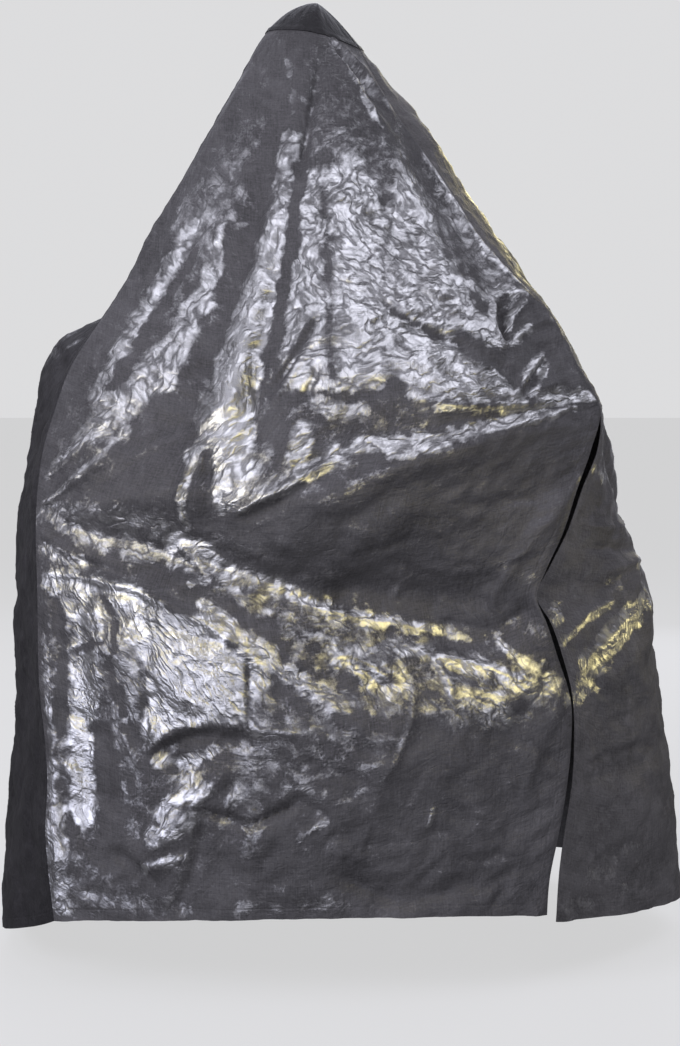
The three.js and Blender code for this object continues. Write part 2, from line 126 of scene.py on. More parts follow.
LEFT = columns("z x1 x2 x3 xb yb", [
    (-40, -84, -82, -72, -54, 36),
    (-80, -112, -108, -95, -76, 62),
    (-150, -150, -147, -132, -108, 104),
    (-300, -231, -226, -210, -186, 176),
    (-450, -313, -308, -290, -256, 232),
    (-550, -362, -360, -342, -302, 262),
    (-600, -396, -402, -380, -330, 274),
    (-620, -432, -458, -418, -345, 278),
    (-650, -470, -514, -462, -366, 283),
    (-700, -502, -549, -500, -396, 289),
    (-780, -530, -565, -524, -422, 294),
    (-860, -547, -577, -540, -438, 297),
    (-930, -558, -586, -550, -449, 299),
    (-1000, -564, -598, -560, -457, 300),
    (-1110, -566, -599, -562, -462, 300),
    (-1220, -567, -602, -565, -464, 300),
    (-1330, -564, -599, -563, -465, 299),
    (-1460, -566, -603, -566, -467, 297),
    (-1550, -578, -616, -575, -469, 296),
    (-1700, -594, -627, -586, -472, 294),
    (-1850, -602, -632, -592, -475, 292),
])

BACK = columns("z y1 y2 y3 xr yr", [
    (-40, 58, 64, 56, 40, 34),
    (-80, 92, 100, 90, 62, 60),
    (-150, 148, 164, 148, 100, 104),
    (-300, 246, 272, 248, 196, 178),
    (-450, 324, 354, 326, 284, 236),
    (-600, 378, 408, 378, 372, 278),
    (-700, 398, 428, 400, 418, 294),
    (-780, 408, 438, 410, 450, 303),
    (-930, 416, 448, 420, 486, 309),
    (-1110, 418, 450, 422, 522, 310),
    (-1300, 416, 447, 420, 550, 309),
    (-1460, 414, 444, 418, 566, 307),
    (-1620, 412, 441, 415, 580, 304),
    (-1850, 410, 438, 412, 592, 300),
])

RIGHT = columns("z x1 x2 x3 xs ys", [
    (-40, 50, 54, 52, 46, -14),
    (-80, 78, 84, 82, 74, -22),
    (-150, 126, 144, 136, 114, -42),
    (-220, 180, 204, 192, 155, -60),
    (-300, 240, 261, 250, 211, -81),
    (-380, 290, 312, 302, 262, -108),
    (-450, 338, 359, 348, 306, -133),
    (-530, 388, 406, 404, 373, -161),
    (-600, 432, 456, 460, 436, -186),
    (-650, 458, 484, 488, 462, -204),
    (-700, 484, 512, 516, 486, -221),
    (-780, 522, 556, 548, 523, -250),
    (-850, 548, 590, 562, 519, -262),
    (-920, 558, 598, 563, 487, -296),
    (-1000, 576, 614, 568, 454, -328),
    (-1060, 592, 632, 580, 422, -342),
    (-1110, 604, 643, 588, 399, -344),
    (-1160, 614, 652, 600, 426, -341),
    (-1220, 628, 666, 611, 448, -336),
    (-1300, 645, 684, 622, 469, -330),
    (-1380, 655, 695, 628, 474, -324),
    (-1460, 668, 709, 634, 472, -319),
    (-1550, 678, 722, 640, 461, -313),
    (-1630, 687, 731, 646, 453, -307),
    (-1720, 696, 739, 650, 449, -302),
    (-1850, 704, 744, 656, 446, -296),
])

# Main folds, as in the solids: across and height at the start and at the end, bow, half widths at both
# ends, height of the fold
FOLDS = {
    "front": [
        (-190, -340, -440, -900, 10, 20, 42, 12),
        (-150, -450, -350, -830, 6, 14, 26, -9),
        (-140, -380, -440, -940, -18, 20, 38, 12),
        (-88, -340, -250, -870, -8, 26, 44, -15),
        (-26, -300, -190, -840, -6, 24, 40, 13),
        (4, -170, -120, -830, 8, 16, 22, -14),
        (60, -160, 30, -760, 12, 28, 70, 9),
        (110, -230, 330, -720, 10, 26, 46, 8),
        (150, -180, 420, -690, 12, 18, 30, -7),
        (510, -770, 10, -815, -10, 22, 40, -13),
        (505, -778, -40, -960, 20, 20, 34, 13),
        (90, -930, -450, -965, 26, 34, 30, 9),
        (400, -1120, -450, -985, -34, 34, 26, -12),
        (470, -1290, -420, -1050, -40, 44, 40, 8),
        (-300, -1060, -285, -1330, 14, 26, 30, -9),
        (-436, -1130, -400, -1600, 0, 22, 30, -9),
        (-290, -1392, -100, -1352, 14, 24, 26, -9),
        (-330, -1590, -150, -1400, 10, 28, 26, 10),
        (-150, -1500, -235, -1700, -14, 24, 30, -9),
        (190, -1260, 90, -1520, 10, 30, 34, 7),
        (20, -1590, 340, -1590, 60, 34, 30, -8),
    ],
    "left": [
        (-140, -300, -150, -900, 20, 40, 60, -14),
        (60, -660, 20, -1250, -20, 34, 60, -12),
        (-120, -1130, -60, -1560, 20, 36, 50, 9),
        (170, -900, 140, -1780, 16, 50, 60, 12),
    ],
    "back": [
        (-60, -150, -230, -1000, 20, 34, 70, -18),
        (50, -160, 150, -1100, -16, 34, 76, -20),
        (120, -260, 400, -1200, 20, 36, 60, 14),
        (-120, -700, -90, -1760, 10, 60, 80, 18),
        (330, -1000, 360, -1760, -14, 56, 66, -16),
        (-340, -820, -300, -1760, 12, 50, 66, -14),
    ],
    "right": [
        (-170, -640, 140, -940, 20, 34, 44, -12),
        (-210, -800, 60, -1120, -16, 30, 44, -16),
        (-280, -1290, 20, -1090, 14, 30, 40, 12),
        (-280, -1450, -20, -1440, 12, 24, 34, -7),
        (120, -1000, 150, -1760, 14, 50, 66, -16),
    ],
}

# Heights of the cap seam and of the hem at the start, middle and end of each panel, going round
EDGES = {
    "front": ((-82, -62, -51), (-1698, -1688, -1713)),
    "left": ((-51, -55, -60), (-1713, -1822, -1800)),
    "back": ((-60, -68, -72), (-1800, -1786, -1782)),
    "right": ((-72, -80, -82), (-1782, -1778, -1732)),
}

# Creases, narrower than the folds, in the same columns
CREASES = {
    "front": [
        (294, -1162, 476, -908, -13, 17, 15, 9), (19, -89, 129, -258, 6, 6, 8, 7),
        (28, -88, 117, -203, -2, 7, 11, -11), (39, -86, 145, -215, -3, 6, 8, 6),
        (6, -147, -28, -343, -1, 8, 10, -7), (9, -409, 27, -474, -5, 5, 5, -4),
        (9, -534, 84, -577, -4, 7, 6, -5), (11, -613, -92, -764, -3, 7, 7, -8),
        (-8, -662, -82, -772, -3, 5, 5, 5), (-26, -669, 45, -648, -4, 5, 5, 4),
        (-18, -676, 72, -690, -19, 6, 6, -5), (13, -699, -16, -751, 1, 7, 7, -6),
        (123, -588, 175, -621, 1, 6, 6, -5), (191, -631, 353, -715, -4, 7, 9, -7),
        (225, -591, 146, -644, -1, 6, 6, -5), (179, -560, 279, -590, 11, 7, 6, -5),
        (180, -441, 220, -542, 9, 8, 8, -7), (90, -429, 168, -477, 0, 7, 6, -5),
        (180, -758, 473, -756, 12, 6, 6, 5), (342, -806, 474, -772, 1, 7, 5, 6),
        (346, -584, 347, -654, 6, 9, 9, -16), (327, -579, 338, -661, 7, 7, 7, 6),
        (320, -574, 404, -571, -12, 7, 7, 6), (404, -577, 355, -649, 16, 7, 7, 6),
        (366, -648, 442, -612, -7, 7, 7, 6), (359, -751, 436, -668, -6, 7, 7, 7),
        (378, -747, 435, -676, -5, 7, 7, -8), (416, -740, 477, -714, 0, 6, 6, 3),
        (-502, -902, -396, -831, 7, 6, 10, 5), (-504, -953, -353, -853, 5, 5, 9, 7),
        (-199, -838, -223, -999, 26, 6, 6, 7), (-193, -841, -206, -923, 6, 5, 5, 4),
        (-189, -850, -186, -936, -1, 8, 8, -7), (-105, -720, -102, -840, 3, 5, 5, -6),
        (-207, -812, -149, -767, -4, 6, 6, 4), (-203, -819, -113, -773, 30, 5, 5, 4),
        (-51, -822, -19, -904, 9, 7, 9, 6), (-143, -956, 31, -861, 3, 7, 9, 7),
        (-131, -968, 45, -879, 1, 10, 12, -7), (-500, -1001, -426, -1047, 2, 7, 7, 5),
        (-428, -1051, -335, -1073, 1, 8, 10, -6), (-486, -1076, -82, -1244, -47, 7, 7, 5),
        (-403, -1108, -362, -1181, -16, 6, 6, -3), (-473, -1120, -465, -1342, -6, 9, 10, -4),
        (-466, -1223, -381, -1182, -8, 5, 5, 4), (-469, -1211, -387, -1189, -3, 6, 6, -4),
        (-368, -1224, -327, -1368, 5, 16, 18, -5), (-325, -1204, -303, -1387, -6, 6, 6, -3),
        (-301, -1395, -284, -1332, -2, 5, 5, 5), (-299, -1388, -204, -1337, -11, 6, 6, 6),
        (-293, -1397, -147, -1358, -19, 9, 11, -10), (-281, -1397, -189, -1375, -1, 5, 5, 4),
        (-116, -1207, -116, -1332, 0, 4, 4, -4), (-113, -1338, -28, -1346, 1, 8, 6, 5),
        (-392, -1351, -372, -1500, -8, 18, 20, -6), (-351, -1336, -315, -1417, 4, 5, 5, 5),
        (-461, -1443, -450, -1601, 0, 8, 8, -3), (-478, -1306, -476, -1658, -2, 7, 9, 3),
        (-433, -1527, -447, -1630, 1, 5, 5, 3), (-200, -1491, -130, -1517, -1, 7, 8, -11),
        (-132, -1523, -30, -1475, 2, 8, 7, -11), (-44, -1456, 23, -1499, 0, 6, 6, -5),
        (-382, -1576, -285, -1640, -11, 13, 13, -8), (-200, -1518, -257, -1687, -8, 13, 15, -9),
        (-269, -1479, -201, -1443, 1, 6, 6, 5), (-241, -1489, -190, -1457, 0, 6, 6, 4),
        (-307, -1604, -228, -1576, -1, 7, 7, 6), (-162, -1496, -130, -1447, -5, 5, 5, 4),
        (-28, -1538, 18, -1508, -2, 4, 4, 4), (-449, -1649, -350, -1615, 3, 4, 4, 3),
        (-133, -1525, -140, -1683, 0, 4, 4, -2), (343, -1363, 404, -1387, -2, 7, 6, -4),
        (404, -1387, 450, -1421, 0, 6, 7, -4), (404, -1389, 372, -1494, 1, 8, 14, 4),
        (176, -1271, 116, -1430, -16, 6, 6, 5), (27, -1415, 104, -1443, -2, 8, 8, -4),
        (211, -1482, 199, -1520, -3, 4, 4, 4), (54, -1479, 445, -1497, 1, 4, 4, -1.5),
        (27, -1605, 160, -1662, 0, 10, 10, -6), (160, -1665, 248, -1644, -1, 9, 8, -5),
        (249, -1619, 306, -1646, 0, 8, 8, -5), (306, -1646, 365, -1603, -1, 8, 8, -5),
        (319, -1682, 354, -1635, -3, 8, 8, -4), (307, -1423, 375, -1547, -1, 24, 30, -5),
        (-258, -998, -97, -1056, -7, 16, 16, -6), (-249, -1078, -94, -1124, -9, 16, 16, 6),
        (98, -1512, 74, -1583, -1, 5, 5, 3), (33, -1211, 88, -1252, 0, 6, 6, 5),
        (54, -1212, 153, -1267, -3, 6, 6, 5), (42, -1221, 125, -1271, -5, 6, 6, -5),
        (185, -1207, 243, -1290, -13, 6, 6, 5), (224, -1218, 382, -1274, -10, 7, 7, 6),
        (228, -1234, 341, -1283, 1, 8, 8, -5), (-80, -1110, 207, -1176, 0, 7, 7, 5),
        (-240, -1017, -124, -1078, 19, 8, 8, 5), (-159, -1108, -80, -1084, 7, 6, 6, 4),
        (207, -1171, 401, -1126, 36, 30, 30, -13), (206, -1043, 460, -940, 24, 55, 50, 7),
        (225, -1159, 326, -1176, -2, 7, 7, -4), (326, -1176, 393, -1124, 1, 7, 7, -4),
        (45, -929, 237, -879, -7, 26, 30, -4), (27, -1040, 222, -988, -3, 20, 26, 4),
    ],
    "right": [
        (-269, -870, -199, -894, 30, 6, 6, 3), (-265, -1032, -70, -1053, 4, 10, 12, -9),
        (-259, -991, -86, -1005, 7, 10, 10, 6), (-230, -1081, -55, -1078, -3, 8, 9, 7),
        (-326, -1195, -223, -1141, -11, 6, 6, 4), (-324, -1287, -126, -1150, -22, 14, 16, 5),
        (-310, -1438, -117, -1439, -14, 6, 8, -5), (-300, -1456, -235, -1460, 9, 7, 6, -4),
        (-310, -1427, -174, -1413, -7, 7, 9, 4), (-231, -1657, -191, -1602, -3, 6, 6, -5),
        (-259, -1630, -218, -1593, -4, 6, 6, 4), (-292, -1492, -228, -1597, -7, 14, 16, -4),
    ],
}

# Patches of film: across and height at the start and at the end, bow, half widths at both ends, and a
# level: about 1 for glossy and crinkled, more for the brightest, near 0 for a dull line or hollow
PATCHES = {
    "front": [
        (-446, -1104, -372, -1536, -24, 70, 66, 0.42), (-448, -1579, -262, -1667, 29, 35, 20, 0.45),
        (-296, -1403, -243, -1582, -52, 78, 58, 0.36), (-115, -1370, 80, -1422, 10, 58, 47, 0.36),
        (-301, -634, -426, -832, -4, 51, 58, 0.38), (-157, -396, -297, -724, -7, 39, 51, 0.38),
        (-8, -793, 185, -789, 11, 47, 27, 0.36), (148, -298, 360, -578, 8, 27, 27, 0.5),
        (4, -107, 54, -287, 6, 23, 58, 0.4), (45, -306, 288, -483, -34, 74, 58, 0.38),
        (-123, -262, -232, -459, 2, 27, 43, 0.5), (-158, -357, -275, -579, -4, 27, 23, 0.62),
        (5, -287, 147, -328, 1, 31, 27, 0.5), (-9, -367, -20, -699, 0, 23, 43, 1),
        (63, -378, 89, -685, -7, 51, 55, 1.05), (165, -399, 200, -692, -7, 39, 58, 1.05),
        (184, -386, 209, -362, 0, 16, 4, 1), (225, -545, 305, -644, 5, 35, 20, 1),
        (203, -709, 351, -749, -2, 47, 20, 1.1), (19, -733, 115, -730, 3, 10, 10, 0.9),
        (328, -752, 509, -761, 0, 21, 6, 1), (27, -241, 36, -258, 0, 16, 16, 0.45),
        (244, -386, 343, -540, 3, 27, 23, 0.6), (295, -665, 352, -706, -7, 14, 16, 0.3),
        (266, -562, 308, -572, -9, 14, 8, 0.9), (308, -572, 400, -571, -13, 8, 6, 1.3),
        (399, -575, 353, -634, 12, 6, 6, 1.3), (329, -584, 338, -661, 9, 8, 8, 1.3),
        (341, -661, 370, -645, 6, 8, 8, 1.3), (366, -648, 440, -614, -6, 6, 6, 1.3),
        (359, -752, 434, -668, -5, 10, 6, 1.3), (395, -749, 439, -677, -4, 6, 4, 1.3),
        (411, -633, 424, -661, -2, 4, 4, 0.9), (405, -752, 501, -756, -12, 4, 6, 1.2),
        (345, -590, 346, -643, 6, 6, 6, 0.02), (213, -770, 495, -761, 7, 4, 4, 1.3),
        (209, -298, 316, -479, -3, 3, 3, 1.3), (316, -479, 397, -558, 0, 3, 4, 1.3),
        (123, -588, 272, -662, 7, 4, 6, 0.2), (272, -662, 386, -760, -7, 6, 8, 0.2),
        (-5, -629, -93, -752, -3, 6, 6, 0.15), (409, -577, 467, -725, 7, 18, 14, 0.15),
        (-49, -286, -69, -464, -4, 18, 25, 0.85), (-76, -464, -156, -801, -2, 25, 57, 1.25),
        (-131, -763, -112, -777, 0, 12, 8, 0.9), (-167, -452, -279, -710, -13, 6, 31, 0.97),
        (-155, -338, -235, -478, 1, 18, 20, 0.65), (-203, -416, -390, -760, 1, 14, 18, 0.95),
        (-185, -423, -221, -488, -3, 12, 12, 0.5), (-288, -710, -489, -903, -6, 35, 6, 1),
        (-215, -490, -360, -737, -1, 6, 12, 0.05), (-336, -814, -496, -949, -9, 6, 4, 1),
        (-28, -334, -83, -688, -9, 12, 10, 0.05), (-83, -688, -100, -828, 4, 6, 4, 0.2),
        (-201, -839, -227, -994, 13, 16, 4, 0.95), (-188, -850, -183, -933, 0, 8, 6, 0.1),
        (-140, -855, -151, -928, 0, 39, 27, 1.1), (-91, -845, -98, -914, 0, 18, 18, 0.6),
        (-199, -814, -110, -790, 0, 6, 4, 0.3), (-195, -829, -109, -821, 0, 6, 6, 0.8),
        (-21, -820, -32, -887, 0, 21, 18, 0.95), (-175, -829, -222, -1016, -9, 20, 12, 0.35),
        (-130, -950, 59, -853, 1, 6, 8, 0.95), (-137, -943, 54, -855, -9, 18, 20, 0.68),
        (42, -848, 149, -834, -1, 12, 18, 1), (28, -929, 131, -878, 1, 12, 12, 0.42),
        (-25, -828, 63, -836, 13, 20, 16, 0.4), (135, -838, 474, -775, 2, 20, 6, 0.95),
        (13, -762, 83, -779, 3, 16, 12, 0.85), (-61, -750, -26, -758, 0, 10, 10, 0.4),
        (-493, -965, -254, -993, -5, 21, 31, 0.68), (-240, -1007, -114, -1041, -10, 12, 10, 0.5),
        (-494, -1025, -423, -1053, 7, 10, 8, 0.85), (-436, -1121, -422, -1487, -1, 47, 39, 0.5),
        (-364, -1116, -340, -1332, -3, 39, 27, 0.72), (-312, -1186, -132, -1287, 14, 78, 66, 0.6),
        (-485, -1092, -293, -1131, -15, 18, 23, 1.3), (-434, -1129, -403, -1191, -11, 31, 25, 1.15),
        (-446, -1162, -391, -1169, 10, 8, 10, 0.25), (-422, -1267, -422, -1514, 1, 27, 21, 1.5),
        (-435, -1217, -408, -1273, -1, 21, 21, 1), (-312, -1136, -93, -1254, -7, 20, 14, 1.3),
        (-297, -1175, -280, -1346, -21, 37, 31, 1.5), (-210, -1199, -204, -1321, -25, 55, 27, 1.5),
        (-139, -1237, -143, -1301, -5, 39, 27, 1.3), (-295, -1375, -141, -1327, -24, 8, 8, 1),
        (-393, -1100, -370, -1234, -22, 4, 6, 0.1), (-368, -1234, -321, -1371, 8, 8, 12, 0.08),
        (-435, -1217, -379, -1193, -3, 6, 6, 0.1), (-471, -1131, -466, -1362, -8, 8, 10, 0.12),
        (-396, -1359, -376, -1574, -9, 18, 31, 0.05), (-292, -1389, -144, -1358, -27, 8, 12, 0.05),
        (-118, -1207, -120, -1332, -1, 4, 4, 0.2), (-105, -1286, -26, -1315, 12, 20, 16, 0.4),
        (-111, -1342, -28, -1342, 2, 6, 8, 0.9), (13, -1269, 60, -1308, 0, 10, 12, 0.85),
        (-43, -1182, 27, -1252, -3, 16, 16, 0.4), (-497, -1187, -480, -1435, -3, 6, 8, 0.85),
        (-486, -1444, -472, -1673, -4, 16, 25, 0.85), (-357, -1329, -341, -1335, 0, 4, 4, 0.8),
        (-335, -1383, -322, -1407, 0, 4, 4, 0.7), (-278, -1398, -191, -1386, 10, 12, 12, 1.2),
        (-223, -1404, -234, -1453, 0, 16, 21, 0.9), (-273, -1481, -193, -1457, -2, 12, 16, 1.2),
        (-278, -1496, -223, -1509, 7, 16, 20, 0.8), (-285, -1541, -259, -1528, 0, 16, 14, 1.2),
        (-304, -1600, -232, -1576, -4, 8, 10, 1.2), (-319, -1459, -312, -1486, 0, 16, 16, 0.4),
        (-159, -1503, -134, -1450, 0, 10, 12, 0.6), (-122, -1396, -116, -1561, -7, 27, 16, 0.55),
        (-94, -1387, -8, -1468, 5, 27, 23, 0.42), (-468, -1645, -400, -1676, -2, 23, 20, 0.6),
        (-336, -1671, -235, -1667, 4, 14, 16, 0.5), (-135, -1668, 54, -1662, -4, 10, 10, 0.55),
        (176, -1271, 151, -1380, -5, 8, 10, 0.5), (151, -1380, 118, -1431, -3, 8, 6, 0.45),
        (10, -1286, 332, -1333, -10, 27, 20, 0.55), (-44, -1332, 151, -1349, 10, 31, 27, 0.45),
        (-465, -993, -232, -1044, 3, 16, 16, 0.72), (-342, -1046, -322, -1080, 0, 8, 8, 0.5),
        (-237, -1016, -133, -1075, -4, 18, 18, 1), (-221, -1086, -187, -1078, 1, 6, 6, 0.9),
        (-147, -1078, -71, -1088, -5, 16, 14, 0.8), (-133, -1118, -76, -1103, 2, 10, 8, 0.95),
        (-94, -1134, -41, -1140, -2, 6, 6, 0.8), (-205, -1053, 63, -1185, 0, 27, 43, 0.5),
        (63, -1185, 414, -1279, 7, 47, 43, 0.5), (-71, -1084, 124, -1157, 13, 14, 12, 1.1),
        (124, -1157, 282, -1188, 0, 8, 6, 1.2), (6, -1150, 116, -1195, -4, 10, 8, 0.45),
        (2, -1176, 70, -1189, 3, 4, 4, 0.8), (-203, -1118, -93, -1215, -4, 14, 20, 1.1),
        (-93, -1215, 27, -1290, -1, 20, 14, 1), (24, -1203, 141, -1271, 5, 10, 16, 1.1),
        (67, -1205, 91, -1209, 0, 10, 10, 0.95), (102, -1226, 159, -1260, -3, 8, 8, 0.95),
        (160, -1212, 244, -1290, -28, 8, 12, 1.1), (220, -1216, 314, -1241, 3, 10, 12, 1.2),
        (314, -1241, 412, -1279, 1, 10, 14, 1.1), (262, -1302, 346, -1323, -8, 16, 18, 1),
        (241, -1273, 277, -1291, 0, 12, 12, 0.8), (333, -1193, 378, -1225, 2, 12, 10, 1),
        (378, -1231, 412, -1233, 7, 6, 6, 0.9), (420, -1254, 453, -1296, 3, 12, 12, 0.95),
        (350, -1269, 390, -1303, -5, 6, 6, 0.85), (383, -1323, 394, -1332, 0, 8, 8, 0.6),
        (-25, -1182, 369, -1225, -5, 31, 27, 0.4), (354, -1175, 439, -1227, -20, 23, 12, 0.35),
        (468, -872, 480, -905, 0, 8, 8, 0.5), (202, -893, 365, -897, -15, 16, 16, 0.22),
        (-26, -1069, 189, -1102, -19, 20, 20, 0.25), (-132, -1014, 27, -1069, -5, 16, 16, 0.35),
        (-55, -130, -51, -285, -9, 4, 6, 0.6), (26, -97, 116, -256, 1, 4, 4, 0.8),
        (41, -86, 164, -234, 6, 6, 8, 0.62), (11, -86, 15, -93, 0, 12, 8, 0.6),
        (-26, -1538, 20, -1508, -1, 4, 4, 1), (204, -1519, 213, -1482, 1, 4, 3, 1),
        (-51, -1446, 16, -1452, -1, 3, 3, 0.8),
    ],
    "right": [
        (18, -303, -130, -545, -34, 16, 12, 0.8), (-168, -609, -210, -755, -144, 6, 6, 0.5),
        (-318, -1298, -107, -1150, -31, 23, 20, 1.15), (-321, -1128, -327, -1158, 0, 10, 10, 0.85),
        (-331, -1198, -223, -1141, -5, 6, 6, 0.8), (-302, -1273, -283, -1292, 0, 10, 10, 0.8),
        (-110, -1087, -101, -1137, 0, 16, 12, 0.8), (-219, -1109, -180, -1106, 0, 16, 16, 0.4),
        (-274, -882, -219, -908, 0, 8, 8, 0.9), (-142, -869, -123, -841, 0, 6, 6, 0.5),
        (-228, -1637, -279, -1721, 3, 27, 16, 0.4), (-242, -1659, -186, -1622, -4, 18, 14, 0.5),
        (-289, -1705, -250, -1712, 4, 14, 12, 0.62), (-238, -1711, -173, -1654, 14, 16, 16, 0.4),
        (20, -260, 40, -640, -20, 30, 90, 0.66), (30, -300, 10, -560, -20, 14, 40, 1),
        (110, -380, 200, -900, 20, 26, 90, 0.64), (130, -460, 180, -800, 10, 14, 44, 1),
        (40, -860, 120, -1180, -24, 50, 80, 0.64), (60, -920, 90, -1120, -14, 20, 40, 0.95),
        (120, -1200, 160, -1640, 30, 50, 110, 0.64), (130, -1280, 170, -1560, 10, 20, 50, 1),
    ],
    "left": [
        (-90, -672, -126, -634, -2, 6, 6, 0.6), (-287, -1053, -328, -1530, -4, 4, 4, 0.35),
        (90, -300, 40, -640, 16, 26, 90, 0.66), (80, -340, 50, -600, 10, 14, 40, 1),
        (150, -480, 210, -960, -14, 24, 80, 0.66), (160, -560, 190, -880, -14, 14, 44, 1),
        (110, -880, 120, -1240, 20, 60, 60, 0.62), (110, -940, 120, -1160, 20, 30, 30, 0.95),
        (190, -1120, 160, -1640, 16, 40, 110, 0.64), (190, -1240, 160, -1560, 10, 24, 50, 1),
    ],
    "back": [
        (-30, -200, -120, -760, 20, 30, 150, 0.66), (-60, -240, -190, -700, 14, 16, 60, 1),
        (20, -300, 70, -640, -10, 14, 54, 0.95), (110, -260, 250, -740, 14, 14, 90, 0.66),
        (140, -340, 230, -600, 10, 10, 30, 1), (-330, -760, -260, -1300, 30, 30, 120, 0.66),
        (-300, -900, -270, -1250, 20, 16, 66, 1), (60, -840, -120, -1180, -40, 90, 60, 0.64),
        (20, -900, -60, -1100, -30, 50, 34, 0.95), (250, -1000, 330, -1600, 40, 30, 140, 0.64),
        (290, -1150, 330, -1500, 20, 30, 76, 1), (-60, -1300, 60, -1620, -30, 120, 60, 0.62),
        (-40, -1380, 20, -1560, -10, 66, 30, 0.95),
    ],
}

# Direction the cloth is pulled in: across, height, and degrees from across to up
LAYS = {
    "front": [
        (27, -306, 70), (-45, -492, 75), (155, -396, -40), (206, -563, -30), (63, -582, -35),
        (45, -724, 20), (294, -671, -35), (407, -724, 15), (-153, -635, 65), (-300, -652, 58),
        (-388, -796, 40), (-148, -897, 80), (28, -879, 25), (238, -933, 10), (367, -1045, 60),
        (-205, -1043, -20), (-27, -1132, -25), (152, -1221, -40), (295, -1274, -35), (405, -1208, -40),
        (-294, -1185, -45), (-203, -1289, -50), (-428, -1304, 85), (-467, -1525, 88), (-259, -1507, 60),
        (-26, -1432, 20), (187, -1397, 0), (335, -1571, 15), (81, -1618, -10), (187, -1324, 85),
    ],
    "right": [
        (-232, -1023, 0), (-272, -1242, 50), (-226, -1404, 20), (-212, -1622, 50), (-282, -894, 60),
    ],
    "left": [
        (0, -400, 80), (100, -1000, 60), (0, -1500, 85),
    ],
    "back": [
        (0, -400, 75), (-200, -900, 50), (200, -900, -50), (0, -1500, 10),
    ],
}

# Grid of each panel: whole cells across, nominal width for fading folds, seed of its crumples, plain gloss
GRIDS = {
    "front": (192, 952, 11, 0.2),
    "left": (120, 340, 23, 0.1),
    "back": (180, 544, 37, 0.1),
    "right": (130, 408, 41, 0.1),
}

# Rows down a panel: nominal height where a stretch starts, and how many rows it has
STRETCHES = [(-65, 32), (-350, 75), (SLIT_TOP, 96), (-1330, 46), (-1710, 0)]

# Grid lines of the narrow cells at both edges of a panel, in whole cells from the edge
EDGE_LINES = np.array([0, 0.25, 0.55, 0.95, 1.45])

# Large odd numbers that scatter a lattice cell's place and a seed, and the low bits that are kept
SCATTER_X, SCATTER_Y, SCATTER_SEED = 374761393, 668265263, 2147483647
MIX_FIRST, MIX_SECOND = np.uint64(1274126177), np.uint64(2246822519)
LOW_BITS = np.uint64(0xFFFFFFFF)


def cubic(t, start, end, start_slope, end_slope):
    """Cubic from start to end as t goes from 0 to 1, with the slopes given at both."""
    return (
        (2 * t**3 - 3 * t**2 + 1) * start
        + (t**3 - 2 * t**2 + t) * start_slope
        + (3 * t**2 - 2 * t**3) * end
        + (t**3 - t**2) * end_slope
    )


def column(table, name, z):
    """Value of a named column at heights z: a cubic between each two rows, whose slope at a row is the mean
    of the slopes above and below it, each weighted by the other's height step."""
    rows = table["z"]
    value = table[name]
    step = np.diff(rows)
    slope = np.diff(value) / step
    middle = (slope[:-1] * step[1:] + slope[1:] * step[:-1]) / (step[:-1] + step[1:])
    tangent = np.concatenate([slope[:1], middle, slope[-1:]])
    i = np.clip(np.searchsorted(-rows, -z, side="right") - 1, 0, len(rows) - 2)
    t = np.clip((z - rows[i]) / step[i], 0, 1)
    return cubic(t, value[i], value[i + 1], tangent[i] * step[i], tangent[i + 1] * step[i])


def through(stations, u):
    """Smooth value through five evenly spaced stations: a cubic between each two, whose slope at a station
    is half the step from the one before to the one after."""
    p = np.stack([2 * stations[0] - stations[1], *stations, 2 * stations[4] - stations[3]])
    k = np.minimum(3, np.floor(u * 4)).astype(int)
    before, at, after, beyond = (np.take_along_axis(p, (k + n)[None], 0)[0] for n in range(4))
    return cubic(u * 4 - k, at, after, (after - before) / 2, (beyond - at) / 2)


def along(heights, u):
    """Height of a seam or hem across a panel: a parabola through its start, middle and end."""
    return heights[0] * (1 - u) * (1 - 2 * u) + heights[1] * 4 * u * (1 - u) + heights[2] * u * (2 * u - 1)


def smooth(t):
    """Smooth step: 0 below 0, 1 above 1, and three t squared less two t cubed between."""
    t = np.clip(t, 0, 1)
    return t * t * (3 - 2 * t)


def smooth_sheet(panel, u, z):
    """Point of a panel before its folds, for u from its right edge to its left and height z: one plan
    coordinate goes straight from edge to edge, the other smoothly through the panel's five stations."""
    front_x = column(FRONT, "xr", z)
    front_y = column(FRONT, "yr", z)
    if panel == "front":
        x = front_x + (column(FRONT, "xl", z) - front_x) * u
        y = through([front_y, *(column(FRONT, n, z) for n in ("y3", "y2", "y1", "yl"))], u)
    if panel == "left":
        x = through([column(FRONT, "xl", z), *(column(LEFT, n, z) for n in ("x1", "x2", "x3", "xb"))], u)
        y = column(FRONT, "yl", z) * (1 - u) + column(LEFT, "yb", z) * u
    if panel == "back":
        x = column(LEFT, "xb", z) * (1 - u) + column(BACK, "xr", z) * u
        y = through([column(LEFT, "yb", z), *(column(BACK, n, z) for n in ("y1", "y2", "y3", "yr"))], u)
    if panel == "right":
        x_end = np.where(z < SLIT_TOP, column(RIGHT, "xs", z), front_x)
        y_end = np.where(z < SLIT_TOP, column(RIGHT, "ys", z), front_y)
        x = through([column(BACK, "xr", z), *(column(RIGHT, n, z) for n in ("x1", "x2", "x3")), x_end], u)
        y = column(BACK, "yr", z) * (1 - u) + y_end * u
    return np.stack([x, y, z], -1)


def facing(p):
    """Unit normals of a grid of points, from the step across times the step down."""
    n = np.cross(np.gradient(p, axis=1), np.gradient(p, axis=0))
    return n / np.linalg.norm(n, axis=-1, keepdims=True)


